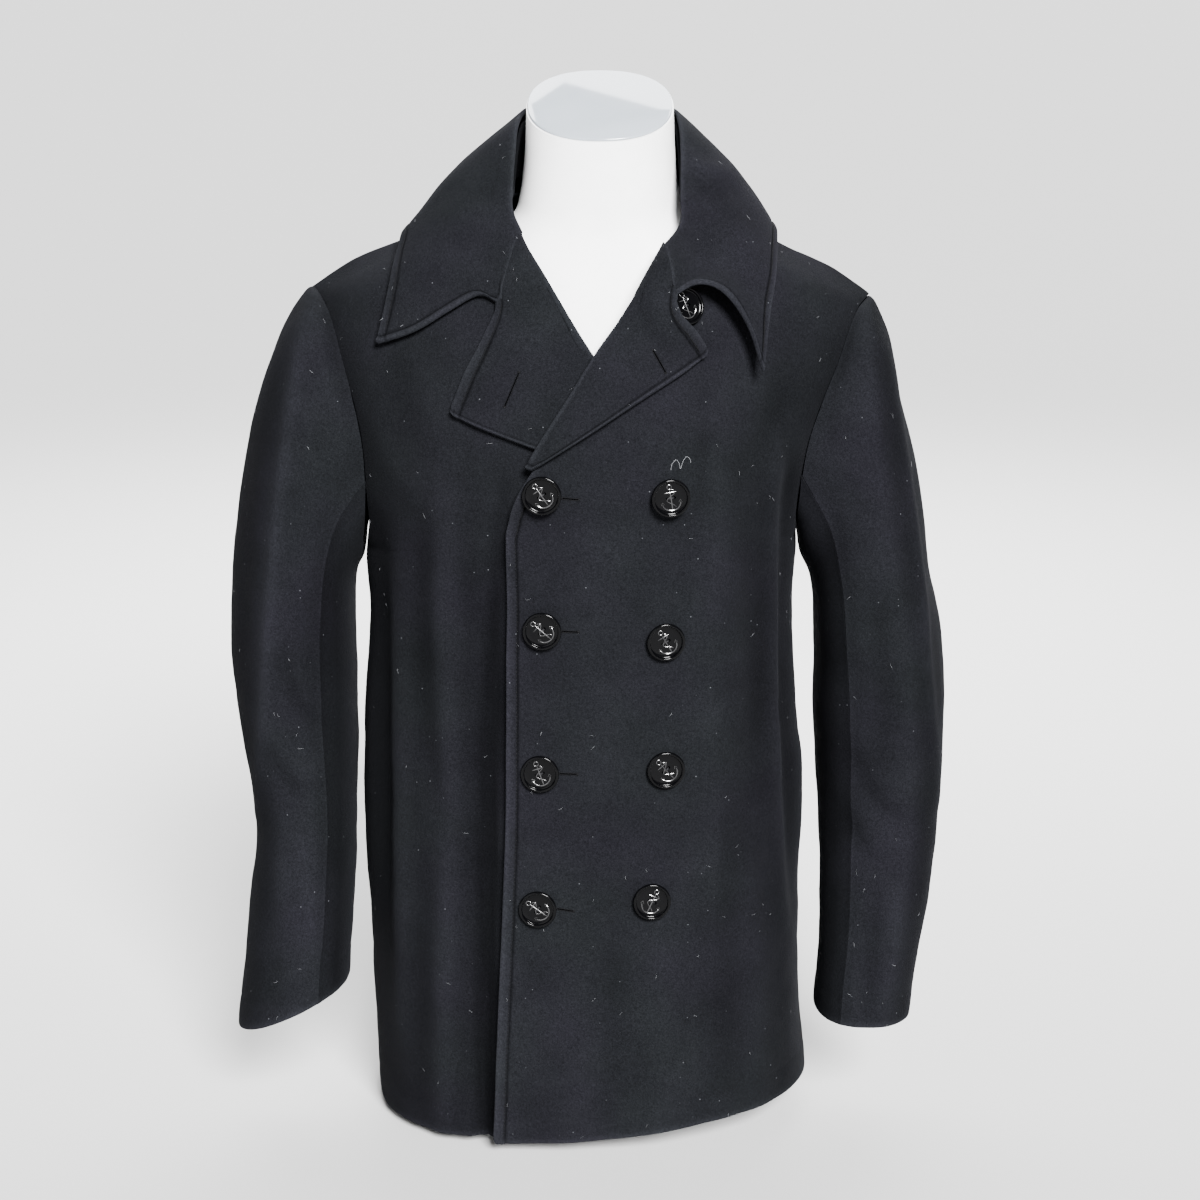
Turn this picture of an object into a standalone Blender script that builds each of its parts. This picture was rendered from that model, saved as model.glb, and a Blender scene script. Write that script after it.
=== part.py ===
"""A double-breasted wool pea coat, buttoned, on a limbless dress form.

Metres, +Z up. The front faces -Y and +X is the wearer's left. The origin is the
centre of the form's flat base, on the surface that it stands on.

Every cloth panel is an open grid on one body surface, thickened with Solidify.
The body surface is read by three values: turn (degrees round the body from the
front or back centre line, 90 at the side seam), level (0 at the hem, 1 at the
shoulder line) and face (-1 front, +1 back).
"""
import math
from collections import namedtuple

import bmesh
import bpy
from mathutils import Matrix, Vector

OBJECT_NAME = "pea_coat"

# ---------------------------------------------------------------- cloth sizes
CLOTH = 0.0025            # one layer of melton
DOUBLE_CLOTH = 0.0040     # lapels and collar leaf, cloth with its facing
SEAM = 0.0004             # space left between two sewn pieces
LAYER_GAP = 0.0006        # space left between two pieces that lie on each other
FRONT, BACK = -1, 1

# ------------------------------------------------------------------ the body
# half widths to the wearer's right and left, and depths to the front and back
TorsoRow = namedtuple("TorsoRow", "level right left front back")
TORSO = (
    TorsoRow(0.00, 0.204, 0.190, 0.149, 0.142),
    TorsoRow(0.12, 0.208, 0.183, 0.145, 0.137),
    TorsoRow(0.25, 0.211, 0.182, 0.141, 0.130),
    TorsoRow(0.36, 0.214, 0.184, 0.140, 0.126),
    TorsoRow(0.48, 0.212, 0.176, 0.142, 0.127),
    TorsoRow(0.58, 0.206, 0.171, 0.145, 0.131),
    TorsoRow(0.67, 0.208, 0.174, 0.147, 0.135),
    TorsoRow(0.76, 0.219, 0.189, 0.146, 0.135),
    TorsoRow(0.83, 0.231, 0.206, 0.142, 0.132),
    TorsoRow(0.90, 0.245, 0.226, 0.136, 0.127),
    TorsoRow(0.95, 0.251, 0.234, 0.131, 0.122),
    TorsoRow(1.00, 0.252, 0.236, 0.126, 0.118),
)
CORNER_X = 2.6            # superellipse power of the body's section, across
CORNER_Y = 2.2            # and front to back
CHEST_LEVEL = 0.62        # above this the section closes towards the shoulder line
CHEST_ROUND = 2.6
SHOULDER_ROUND = 2.1
RIDGE_Y = 0.012           # where the shoulder seam lies, front to back
NECK_SET_BACK = 0.062     # how much further back the back neck lies
NECK_REACH = 0.135
NORMAL_STEP = 0.006       # level step over which the body's slope is measured
NORMAL_TOP = 0.992        # the slope is measured no higher than this
TURN_STEP = 1.5           # and the step round the body, in degrees,
SIDE_TURN = 87.5          # no nearer the side seam than this

HemRow = namedtuple("HemRow", "x height")
HEM = (
    HemRow(-0.21, 0.008), HemRow(-0.10, 0.011), HemRow(0.00, 0.017),
    HemRow(0.10, 0.029), HemRow(0.20, 0.033),
)
ShoulderRow = namedtuple("ShoulderRow", "x height")
SHOULDER = (
    ShoulderRow(0.000, 0.836), ShoulderRow(0.078, 0.826), ShoulderRow(0.120, 0.810),
    ShoulderRow(0.170, 0.788), ShoulderRow(0.214, 0.770), ShoulderRow(0.252, 0.745),
)
SHOULDER_TILT = 0.018     # the wearer's left shoulder hangs a little lower
LEFT_STRETCH = 1.055      # and is a little narrower

# turn at which front and back panels end: the side seam, then the armhole
ArmholeRow = namedtuple("ArmholeRow", "level front back")
FRONT_COLUMNS = 12
BACK_COLUMNS = 16
ARMHOLE = (
    ArmholeRow(0.665, 90.0, 90.0), ArmholeRow(0.685, 76.0, 78.0), ArmholeRow(0.715, 68.5, 71.0),
    ArmholeRow(0.76, 63.5, 66.0), ArmholeRow(0.81, 61.0, 63.5), ArmholeRow(0.86, 60.5, 62.5),
    ArmholeRow(0.905, 61.5, 63.0), ArmholeRow(0.945, 64.0, 65.0), ArmholeRow(0.975, 69.0, 69.0),
    ArmholeRow(1.0, 89.0, 89.0),
)
LOWER_LEVELS = (0.0, 0.07, 0.15, 0.23, 0.31, 0.39, 0.47, 0.54, 0.605)

# ----------------------------------------------------------------- the fronts
# front edge of each front, then its roll line from the break up to the neck
EdgeRow = namedtuple("EdgeRow", "level left right")
FRONT_EDGE = (
    EdgeRow(0.00, -0.092, 0.090), EdgeRow(0.15, -0.087, 0.088), EdgeRow(0.35, -0.080, 0.084),
    EdgeRow(0.60, -0.077, 0.080), EdgeRow(0.70, -0.074, 0.074), EdgeRow(0.742, -0.060, 0.056),
    EdgeRow(0.816, -0.018, 0.010), EdgeRow(0.880, 0.024, -0.026), EdgeRow(0.915, 0.046, -0.047),
    EdgeRow(0.945, 0.060, -0.065), EdgeRow(1.0, 0.080, -0.082),
)
BREAK_LEVEL = 0.742
SEAT_STEPS = 5            # rounds of correction when a point is seated on the body
ROLL_TOP = {"left": 0.935, "right": 0.955}
ROLL_LIFT = 0.016         # how far the roll stands off the body at the neck
ROLL_REACH = 0.055
OVERLAP_LIFT = CLOTH + 2 * LAYER_GAP
OVERLAP_END = 0.125       # the overlap's step is gone by here, across
LAPEL_STEP = 0.0078       # extra room where the right lapel lies under the left front
LAPEL_STEP_HEIGHT = 0.565
LAPEL_STEP_END = 0.095    # this extra room is gone by here, across
STEP_REACH = 0.032        # length over which a step in the cloth runs out
NECK_FADE = 0.945         # above this the fronts settle back to the shoulder seam
ROLL_START = {"left": 0.742, "right": 0.850}
ROLL_SETBACK = 0.009      # the front's own edge stops this far short of the roll
NECK_SETBACK = 0.012      # and further back where the collar leaf takes over
NECK_START = 0.90
SETBACK_RUN = 0.045       # level range over which either one comes in
ROLL_TURN = 0.005         # width of the lapel's turn over the roll
MOST_TURNED = 0.4         # and the largest share of a narrow lapel it takes

# ---------------------------------------------------------------- the lapels
# outer edge of each lapel from the break, along the lower edge, to the tip and
# on to the notch at the gorge seam; "share" is the share of the roll's length
LapelRow = namedtuple("LapelRow", "share x height")
LAPEL_LEFT = (
    LapelRow(0.00, -0.058, 0.6165), LapelRow(0.12, -0.046, 0.6245), LapelRow(0.30, -0.008, 0.648),
    LapelRow(0.48, 0.030, 0.672), LapelRow(0.66, 0.066, 0.694), LapelRow(0.76, 0.091, 0.711),
    LapelRow(0.84, 0.080, 0.728), LapelRow(0.91, 0.067, 0.742), LapelRow(1.00, 0.060, 0.758),
)
LAPEL_RIGHT = (
    LapelRow(0.00, 0.048, 0.6070), LapelRow(0.12, 0.030, 0.6110), LapelRow(0.30, -0.014, 0.622),
    LapelRow(0.48, -0.056, 0.6345), LapelRow(0.66, -0.098, 0.649), LapelRow(0.76, -0.126, 0.660),
    LapelRow(0.82, -0.113, 0.692), LapelRow(0.88, -0.099, 0.718), LapelRow(1.00, -0.0835, 0.7485),
)
LAPEL_TIP = 0.76
LAPEL_COLUMNS = 6
LAPEL_SWELL = 0.0012
ROLL_DROP = 0.0025        # how far the turn over the roll dips at its edge
BUTTON_ROOM = 0.0090      # height that the button under the collar takes
BUTTON_MARGIN = 0.004     # kept this far round the button, then sloping away
BUTTON_SLOPE = 0.020

# ----------------------------------------------------------------- the collar
# the fold round the neck, and the leaf's outer edge where it lies on the body
CollarRow = namedtuple("CollarRow", "fold_x fold_y fold_z edge_x edge_z edge_face lift swell")
COLLAR_RIGHT = (
    CollarRow(-0.0735, -0.0560, 0.8240, -0.1830, 0.7350, FRONT, 0.006, 0.006),
    CollarRow(-0.0735, -0.0440, 0.8430, -0.1770, 0.7600, FRONT, 0.006, 0.008),
    CollarRow(-0.0720, -0.0240, 0.8660, -0.1720, 0.7820, FRONT, 0.006, 0.008),
    CollarRow(-0.0690, 0.0040, 0.8890, -0.1670, 0.7980, FRONT, 0.008, 0.007),
    CollarRow(-0.0645, 0.0340, 0.8980, -0.1600, 0.7890, BACK, 0.009, 0.008),
    CollarRow(-0.0520, 0.0640, 0.9000, -0.1400, 0.7720, BACK, 0.006, 0.009),
    CollarRow(-0.0270, 0.0800, 0.9000, -0.0800, 0.7700, BACK, 0.006, 0.010),
)
COLLAR_BACK = CollarRow(0.0, 0.085, 0.9000, 0.0, 0.7700, BACK, 0.006, 0.010)
COLLAR_LEFT = (
    CollarRow(0.0675, -0.0600, 0.8120, 0.1410, 0.7350, FRONT, 0.018, 0.004),
    CollarRow(0.0680, -0.0480, 0.8360, 0.1460, 0.7640, FRONT, 0.014, 0.007),
    CollarRow(0.0680, -0.0260, 0.8640, 0.1490, 0.7850, FRONT, 0.010, 0.008),
    CollarRow(0.0665, 0.0040, 0.8890, 0.1500, 0.7970, FRONT, 0.008, 0.008),
    CollarRow(0.0635, 0.0340, 0.8980, 0.1480, 0.7880, BACK, 0.009, 0.009),
    CollarRow(0.0520, 0.0640, 0.9000, 0.1340, 0.7700, BACK, 0.006, 0.009),
    CollarRow(0.0270, 0.0800, 0.9000, 0.0800, 0.7690, BACK, 0.006, 0.010),
)
# the leaf's free front edge, from the notch at the gorge seam out to the point
PointRow = namedtuple("PointRow", "share x height lift")
LEAF_END_RIGHT = (
    PointRow(0.00, -0.0835, 0.7485, 0.000), PointRow(0.25, -0.1010, 0.7540, 0.001),
    PointRow(0.50, -0.1270, 0.7410, 0.002), PointRow(0.75, -0.1560, 0.7240, 0.003),
    PointRow(1.00, -0.1890, 0.7110, 0.003),
)
LEAF_END_LEFT = (
    PointRow(0.00, 0.0600, 0.7580, 0.000), PointRow(0.25, 0.0800, 0.7670, 0.009),
    PointRow(0.50, 0.1010, 0.7600, 0.014), PointRow(0.75, 0.1210, 0.7330, 0.018),
    PointRow(1.00, 0.1350, 0.6930, 0.018),
)
GORGE_COLUMNS = 4         # the leaf's columns that end on the gorge seam
GORGE_SEAM = {"right": 0.0024, "left": 0.0034}
LEAF_SHARES = (0.0, 0.08, 0.16, 0.24, 0.33, 0.50, 0.67, 0.83, 1.0)
STAND_DROP = 0.006        # the stand starts this far below the fold, inside it
StandRow = namedtuple("StandRow", "x y z")
STAND_RIGHT = (
    StandRow(-0.0790, -0.0660, 0.8060), StandRow(-0.0800, -0.0480, 0.8160),
    StandRow(-0.0800, -0.0220, 0.8270), StandRow(-0.0800, 0.0060, 0.8340),
    StandRow(-0.0740, 0.0360, 0.8420), StandRow(-0.0560, 0.0600, 0.8450),
    StandRow(-0.0290, 0.0740, 0.8460),
)
STAND_BACK = StandRow(0.0, 0.0780, 0.8460)

# ---------------------------------------------------------------- the sleeves
# outer and inner side of each hanging sleeve, its middle and its half depth
SleeveRow = namedtuple("SleeveRow", "out_x out_z in_x in_z mid_y half_depth")
SLEEVE_RIGHT = (
    SleeveRow(0.2640, 0.7420, 0.2160, 0.5120, 0.000, 0.086),
    SleeveRow(0.2810, 0.7120, 0.2190, 0.4980, 0.000, 0.086),
    SleeveRow(0.2990, 0.6580, 0.2195, 0.4800, 0.001, 0.086),
    SleeveRow(0.3160, 0.5910, 0.2190, 0.4520, 0.003, 0.085),
    SleeveRow(0.3270, 0.5130, 0.2190, 0.4200, 0.006, 0.083),
    SleeveRow(0.3310, 0.4450, 0.2195, 0.3850, 0.008, 0.080),
    SleeveRow(0.3280, 0.3840, 0.2200, 0.3450, 0.007, 0.077),
    SleeveRow(0.3190, 0.3280, 0.2205, 0.3070, 0.002, 0.073),
    SleeveRow(0.3110, 0.2730, 0.2215, 0.2680, -0.007, 0.070),
    SleeveRow(0.3160, 0.2180, 0.2225, 0.2280, -0.020, 0.067),
    SleeveRow(0.3210, 0.1650, 0.2240, 0.1860, -0.034, 0.064),
    SleeveRow(0.3250, 0.1270, 0.2260, 0.1620, -0.046, 0.061),
    SleeveRow(0.3270, 0.0930, 0.2270, 0.1360, -0.055, 0.058),
)
SLEEVE_LEFT = (
    SleeveRow(0.2460, 0.7300, 0.1840, 0.5080, 0.000, 0.085),
    SleeveRow(0.2570, 0.6950, 0.1900, 0.4930, 0.000, 0.086),
    SleeveRow(0.2680, 0.6380, 0.1915, 0.4740, 0.001, 0.086),
    SleeveRow(0.2820, 0.5800, 0.1920, 0.4480, 0.003, 0.085),
    SleeveRow(0.2950, 0.5020, 0.1925, 0.4160, 0.006, 0.083),
    SleeveRow(0.3070, 0.4480, 0.1935, 0.3820, 0.008, 0.080),
    SleeveRow(0.3100, 0.3880, 0.1950, 0.3420, 0.007, 0.077),
    SleeveRow(0.3090, 0.3310, 0.1965, 0.3050, 0.003, 0.073),
    SleeveRow(0.3060, 0.2640, 0.1985, 0.2660, -0.006, 0.070),
    SleeveRow(0.2990, 0.2080, 0.2000, 0.2260, -0.018, 0.067),
    SleeveRow(0.2910, 0.1650, 0.2000, 0.1840, -0.030, 0.064),
    SleeveRow(0.2840, 0.1330, 0.1970, 0.1440, -0.041, 0.061),
    SleeveRow(0.2800, 0.1030, 0.1950, 0.1040, -0.048, 0.058),
)
SLEEVE_CORNER = 2.3       # superellipse power of a sleeve's section
SLEEVE_GAP = 0.0018       # space from the armhole's edge to the sleeve head
ARMHOLE_FOLD = 0.0034     # and where the sleeve folds forward off the body
UNDERARM_OUT = 0.0065     # room for the folded cloth under the arm
UNDERARM_RISE = 0.0060
UNDERARM_ROWS = 4
HEAD_BLEND = (0.45, 0.18, 0.04)  # how far the first rings take the armhole's shape
FRONT_SEAM, BACK_SEAM = 6, -4   # armhole rows where the under sleeve starts and ends

# ---------------------------------------------------------------- the buttons
BUTTON_RADIUS = 0.0164
BUTTON_THICKNESS = 0.0048
BUTTON_LIFT = 0.0012      # the thread under a button holds it this far off the cloth
BUTTON_HOLE_RADIUS = 0.0014
BUTTON_HOLE_SPREAD = 0.0034
BUTTON_STEPS = 18
ProfileRow = namedtuple("ProfileRow", "out up")
BUTTON_PROFILE = (        # shares of the radius and of the thickness
    ProfileRow(0.00, 0.55), ProfileRow(0.55, 0.55), ProfileRow(0.76, 0.66),
    ProfileRow(0.86, 1.00), ProfileRow(0.95, 0.94), ProfileRow(1.00, 0.55),
    ProfileRow(0.80, 0.00), ProfileRow(0.00, 0.00),
)
BUTTON_MERGE = 0.00005    # points this close on the turned disc's axis are one
HOLE_SIDES = 6
FACING_REACH = 0.6        # share of the radius over which the cloth's slope is taken
ButtonRow = namedtuple("ButtonRow", "name x height spin")
BUTTONS = (
    ButtonRow("button_edge_1", -0.0470, 0.5970, 35.0),
    ButtonRow("button_edge_2", -0.0480, 0.4810, 50.0),
    ButtonRow("button_edge_3", -0.0505, 0.3540, 20.0),
    ButtonRow("button_edge_4", -0.0530, 0.2310, 55.0),
    ButtonRow("button_inner_1", 0.0560, 0.5950, 10.0),
    ButtonRow("button_inner_2", 0.0540, 0.4710, 30.0),
    ButtonRow("button_inner_3", 0.0550, 0.3570, 42.0),
    ButtonRow("button_inner_4", 0.0440, 0.2380, -25.0),
    ButtonRow("button_collar", 0.0690, 0.7390, 15.0),
)

# -------------------------------------------------------------- the dress form
FormRow = namedtuple("FormRow", "height half_width front back")
FORM = (
    FormRow(0.000, 0.146, 0.094, 0.096), FormRow(0.100, 0.158, 0.106, 0.108),
    FormRow(0.200, 0.154, 0.104, 0.100), FormRow(0.300, 0.146, 0.098, 0.090),
    FormRow(0.400, 0.150, 0.104, 0.094), FormRow(0.500, 0.160, 0.114, 0.104),
    FormRow(0.580, 0.172, 0.120, 0.110), FormRow(0.650, 0.186, 0.118, 0.108),
    FormRow(0.700, 0.194, 0.104, 0.099), FormRow(0.735, 0.190, 0.086, 0.088),
    FormRow(0.760, 0.172, 0.074, 0.079), FormRow(0.782, 0.140, 0.066, 0.072),
    FormRow(0.800, 0.096, 0.061, 0.066), FormRow(0.815, 0.075, 0.059, 0.062),
    FormRow(0.835, 0.0685, 0.0585, 0.059), FormRow(0.870, 0.0645, 0.058, 0.058),
    FormRow(0.9055, 0.0630, 0.058, 0.058),
)
FORM_CORNER = 2.25
NECK_TILT = math.tan(math.radians(24.0))   # the neck's cut slopes down to the front
NECK_TILT_START = 0.815
FORM_STEPS = 30
CAP_THICKNESS = 0.0022
CAP_SCALE = 0.985

COLOURS = {
    # name: colour, roughness, metallic
    "wool": ((0.012, 0.012, 0.016), 0.92, 0.0),
    "button": ((0.006, 0.006, 0.007), 0.22, 0.0),
    "form": ((0.86, 0.86, 0.86), 0.45, 0.0),
    "cap": ((0.62, 0.67, 0.74), 0.20, 0.0),
}


# ------------------------------------------------------------- reading tables
def read(rows, column, key):
    """Read a column of a table at a key, on a smooth curve through its rows."""
    keys = [row[0] for row in rows]
    values = [getattr(row, column) for row in rows]
    if key <= keys[0]:
        return values[0]
    if key >= keys[-1]:
        return values[-1]
    i = max(n for n, k in enumerate(keys) if k <= key)
    slopes = [(values[n + 1] - values[n]) / (keys[n + 1] - keys[n]) for n in range(len(keys) - 1)]
    start = slopes[i] if i == 0 else 0.5 * (slopes[i - 1] + slopes[i])
    end = slopes[i] if i == len(slopes) - 1 else 0.5 * (slopes[i] + slopes[i + 1])
    span = keys[i + 1] - keys[i]
    t = (key - keys[i]) / span
    return (values[i] * (1 + 2 * t) * (1 - t) ** 2 + start * span * t * (1 - t) ** 2
            + values[i + 1] * t * t * (3 - 2 * t) + end * span * t * t * (t - 1))


def straight(rows, column, key):
    """Read a column of a table at a key, on straight lines between its rows."""
    for low, high in zip(rows, rows[1:]):
        if key <= high[0]:
            t = (key - low[0]) / (high[0] - low[0])
            return getattr(low, column) * (1 - t) + getattr(high, column) * t
    return getattr(rows[-1], column)


def ease(t):
    """A soft step from 0 to 1."""
    t = min(max(t, 0.0), 1.0)
    return t * t * (3 - 2 * t)


# ------------------------------------------------------------ the body surface
def hem_height(x):
    return read(HEM, "height", x)


def shoulder_height(x):
    reach = x * LEFT_STRETCH if x > 0 else -x
    return read(SHOULDER, "height", reach) - SHOULDER_TILT * x - CLOTH


def ridge_y(x):
    return RIDGE_Y + NECK_SET_BACK * (1 - ease(abs(x) / NECK_REACH))


def half_width(x, level):
    return read(TORSO, "left" if x > 0 else "right", level) - CLOTH


def closing(level):
    """1 up to the chest, then falling to 0 at the shoulder line."""
    t = max(0.0, (level - CHEST_LEVEL) / (1 - CHEST_LEVEL))
    return max(0.0, 1 - t ** CHEST_ROUND) ** (1 / SHOULDER_ROUND)


def level_at(x, height):
    level = (height - hem_height(x)) / (shoulder_height(x) - hem_height(x))
    return min(level, 1.0)


def turn_at(x, level):
    share = min(abs(x) / half_width(x, level), 1.0)
    return math.copysign(math.degrees(math.asin(share ** (CORNER_X / 2))), x)


def body_point(turn, level, face):
    """A point on the inside of the body cloth."""
    angle = math.radians(turn)
    x = half_width(turn, level) * math.copysign(abs(math.sin(angle)) ** (2 / CORNER_X), turn)
    column = "front" if face == FRONT else "back"
    depth = (read(TORSO, column, level) - CLOTH) * max(math.cos(angle), 0.0) ** (2 / CORNER_Y)
    ridge = ridge_y(x)
    y = ridge + (face * depth - ridge) * closing(level)
    return Vector((x, y, hem_height(x) + level * (shoulder_height(x) - hem_height(x))))


def body_normal(turn, level, face):
    """The body surface's outward direction, worked out from neighbouring points."""
    turn = min(max(turn, -SIDE_TURN), SIDE_TURN)
    level = min(level, NORMAL_TOP)
    across = body_point(turn + TURN_STEP, level, face) - body_point(turn - TURN_STEP, level, face)
    below = max(level - NORMAL_STEP, 0)
    up = body_point(turn, level + NORMAL_STEP, face) - body_point(turn, below, face)
    return (across.cross(up) * -face).normalized()


def on_body(x, level, face, lift):
    """A point over the body at x, lifted off the inside of the cloth."""
    turn = turn_at(x, level)
    return body_point(turn, level, face) + body_normal(turn, level, face) * lift


def seat(place, x, height):
    """The x and level at which place(x, level) gives a point at x and height."""
    near_x, near_z = x, height
    for _ in range(SEAT_STEPS):
        point = place(near_x, level_at(near_x, near_z))
        near_x += x - point.x
        near_z += height - point.z
    return near_x, level_at(near_x, near_z)


# --------------------------------------------------------------- the two fronts
def front_lift(side, x, level):
    """How far the inside of a front stands off the body surface."""
    edge = read(FRONT_EDGE, side, level)
    away = x - edge if side == "left" else edge - x
    roll = ease((level - ROLL_START[side]) / (ROLL_TOP[side] - ROLL_START[side]))
    lift = ROLL_LIFT * roll * (1 - ease(away / ROLL_REACH))
    if side == "left":
        lift += OVERLAP_LIFT * ease((OVERLAP_END - x) / STEP_REACH)
        height = hem_height(x) + level * (shoulder_height(x) - hem_height(x))
        raised = ease((height - LAPEL_STEP_HEIGHT) / STEP_REACH)
        lift += LAPEL_STEP * raised * ease((LAPEL_STEP_END - x) / STEP_REACH)
    return lift * (1 - ease((level - NECK_FADE) / (1 - NECK_FADE)))


def on_front(side, x, level, above=0.0):
    """A point over a front, above the inside of its cloth."""
    return on_body(x, level, FRONT, front_lift(side, x, level) + above)


def panel_levels():
    return list(LOWER_LEVELS) + [row.level for row in ARMHOLE]


def side_turn(level, column):
    """Where a panel ends: the side seam below the armhole, its edge above."""
    return read(ARMHOLE, column, level) if level > ARMHOLE[0].level else 90.0


def pull_in(grid, seam=SEAM / 2):
    """Draw the outermost points of a grid in, half a seam's width each."""
    for row in grid:
        row[0] = row[0] + (row[1] - row[0]).normalized() * seam
        row[-1] = row[-1] + (row[-2] - row[-1]).normalized() * seam
    for i, other in ((0, 1), (-1, -2)):
        grid[i] = [p + (q - p).normalized() * seam for p, q in zip(grid[i], grid[other])]
    return grid


def front_grid(side, columns):
    """Rows from hem to shoulder, columns from the front edge to the side seam."""
    sign = 1 if side == "left" else -1
    grid = []
    for level in panel_levels():
        setback = ROLL_SETBACK * ease(1 + (level - BREAK_LEVEL) / SETBACK_RUN)
        at_neck = ease((level - NECK_START) / SETBACK_RUN) * ease((1 - level) / SETBACK_RUN)
        setback += NECK_SETBACK * at_neck
        edge_x = read(FRONT_EDGE, side, level) + sign * setback
        start = turn_at(edge_x, level)
        end = sign * side_turn(level, "front")
        row = []
        for i in range(columns + 1):
            turn = start + (end - start) * i / columns
            x = body_point(turn, level, FRONT).x
            lift = front_lift(side, x, level)
            row.append(body_point(turn, level, FRONT) + body_normal(turn, level, FRONT) * lift)
        grid.append(row)
    return pull_in(grid)


def back_grid(columns):
    grid = []
    for level in panel_levels():
        end = side_turn(level, "back")
        turns = [end * (2 * i / columns - 1) for i in range(columns + 1)]
        grid.append([body_point(turn, level, BACK) for turn in turns])
    return pull_in(grid)


# --------------------------------------------------------- the lapels and collar
def roll_point(side, share):
    """x and level on the roll line, from the break (0) to the gorge seam (1)."""
    level = BREAK_LEVEL + (ROLL_TOP[side] - BREAK_LEVEL) * share
    return read(FRONT_EDGE, side, level), level


def button_room(side, x, level):
    """Extra height where the left lapel lies on the button under the collar."""
    if side == "right":
        return 0.0
    button = BUTTONS[-1]
    height = hem_height(x) + level * (shoulder_height(x) - hem_height(x))
    away = math.hypot(x - button.x, height - button.height) - BUTTON_RADIUS
    return BUTTON_ROOM * (1 - ease((away - BUTTON_MARGIN) / BUTTON_SLOPE))


def lapel_above(side, x, level, share):
    """How far a lapel lies above the inside of its front, share of its width out."""
    swell = LAPEL_SWELL * math.sin(math.pi * share)
    return CLOTH + 3 * LAYER_GAP + swell + button_room(side, x, level)


def lapel_point(side, up, out):
    """A point on a lapel: up its roll line from the break, and out from it."""
    table = LAPEL_LEFT if side == "left" else LAPEL_RIGHT

    def free_edge(x, level):
        return on_front(side, x, level, lapel_above(side, x, level, 1.0))

    outer_x, outer_level = seat(free_edge, straight(table, "x", up), straight(table, "height", up))
    roll_x, roll_level = roll_point(side, up)
    x = roll_x + (outer_x - roll_x) * out
    level = roll_level + (outer_level - roll_level) * out
    return on_front(side, x, level, lapel_above(side, x, level, out))


def lapel_grid(side):
    """Rows up the roll line, columns from the roll out to the free edge."""
    table = LAPEL_LEFT if side == "left" else LAPEL_RIGHT
    shares = [row.share for row in table]
    shares += [(a + b) / 2 for a, b in zip(shares, shares[1:]) if b <= LAPEL_TIP]
    grid = []
    for up in sorted(shares):
        width = (lapel_point(side, up, 1.0) - lapel_point(side, up, 0.0)).length
        turned = min(MOST_TURNED, ROLL_TURN / width)
        row = []
        for i in range(LAPEL_COLUMNS + 1):
            out = 0.0 if i == 0 else turned + (1 - turned) * (i - 1) / (LAPEL_COLUMNS - 1)
            row.append(lapel_point(side, up, out))
        row[0].y += ROLL_DROP
        grid.append(row)
    return pull_in(grid)


def leaf_end(side):
    """The collar leaf's front edge: down the gorge seam, then out to the point."""
    sign = 1 if side == "left" else -1
    table = LEAF_END_LEFT if side == "left" else LEAF_END_RIGHT
    gap = GORGE_SEAM[side]
    seam = Vector((sign * gap, 0, gap))
    points = []
    for i in range(GORGE_COLUMNS + 1):
        points.append(lapel_point(side, 1.0, i / GORGE_COLUMNS) + seam)
    free = len(LEAF_SHARES) - 1 - GORGE_COLUMNS
    for i in range(1, free + 1):
        share = i / free
        lift = straight(table, "lift", share)

        def place(x, level):
            return on_front(side, x, level, lapel_above(side, x, level, 1.0) + lift)

        points.append(place(*seat(place, straight(table, "x", share),
                                  straight(table, "height", share))))
    return points


def leaf_row(row):
    """From the fold down to the outer edge, swelling out a little between."""
    def place(x, level):
        return on_body(x, level, row.edge_face, CLOTH + row.lift)

    fold = Vector((row.fold_x, row.fold_y, row.fold_z))
    edge = place(*seat(place, row.edge_x, row.edge_z))
    out = (edge - fold).cross(Vector((0, 0, 1))).cross(edge - fold).normalized()
    return [fold.lerp(edge, t) + out * row.swell * math.sin(math.pi * t) for t in LEAF_SHARES]


def leaf_grid():
    """Rows round the neck from the wearer's right to left."""
    grid = [leaf_end("right")]
    grid += [leaf_row(row) for row in COLLAR_RIGHT]
    grid.append(leaf_row(COLLAR_BACK))
    grid += [leaf_row(row) for row in reversed(COLLAR_LEFT)]
    grid.append(leaf_end("left"))
    return pull_in(grid)


def stand_grid():
    """The standing part of the collar, inside the leaf, down to the neckline."""
    left_half = [StandRow(-row.x, row.y, row.z) for row in reversed(STAND_RIGHT)]
    feet = list(STAND_RIGHT) + [STAND_BACK] + left_half
    folds = list(COLLAR_RIGHT) + [COLLAR_BACK] + list(reversed(COLLAR_LEFT))
    grid = []
    for foot, fold in list(zip(feet, folds))[1:-1]:
        low = Vector(foot)
        high = Vector((fold.fold_x, fold.fold_y, fold.fold_z - STAND_DROP))
        grid.append([high.lerp(low, t) for t in (0.0, 0.5, 1.0)])
    return grid


# ----------------------------------------------------------------- the sleeves
def armhole_loop(side):
    """Points round the armhole: shoulder, down the front, underarm, up the back."""
    sign = 1 if side == "left" else -1
    loop = []
    for rows, face, column in ((reversed(ARMHOLE), FRONT, "front"), (ARMHOLE[1:-1], BACK, "back")):
        for row in rows:
            turn = sign * getattr(row, column)
            loop.append(body_point(turn, row.level, face))
    return loop


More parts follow.
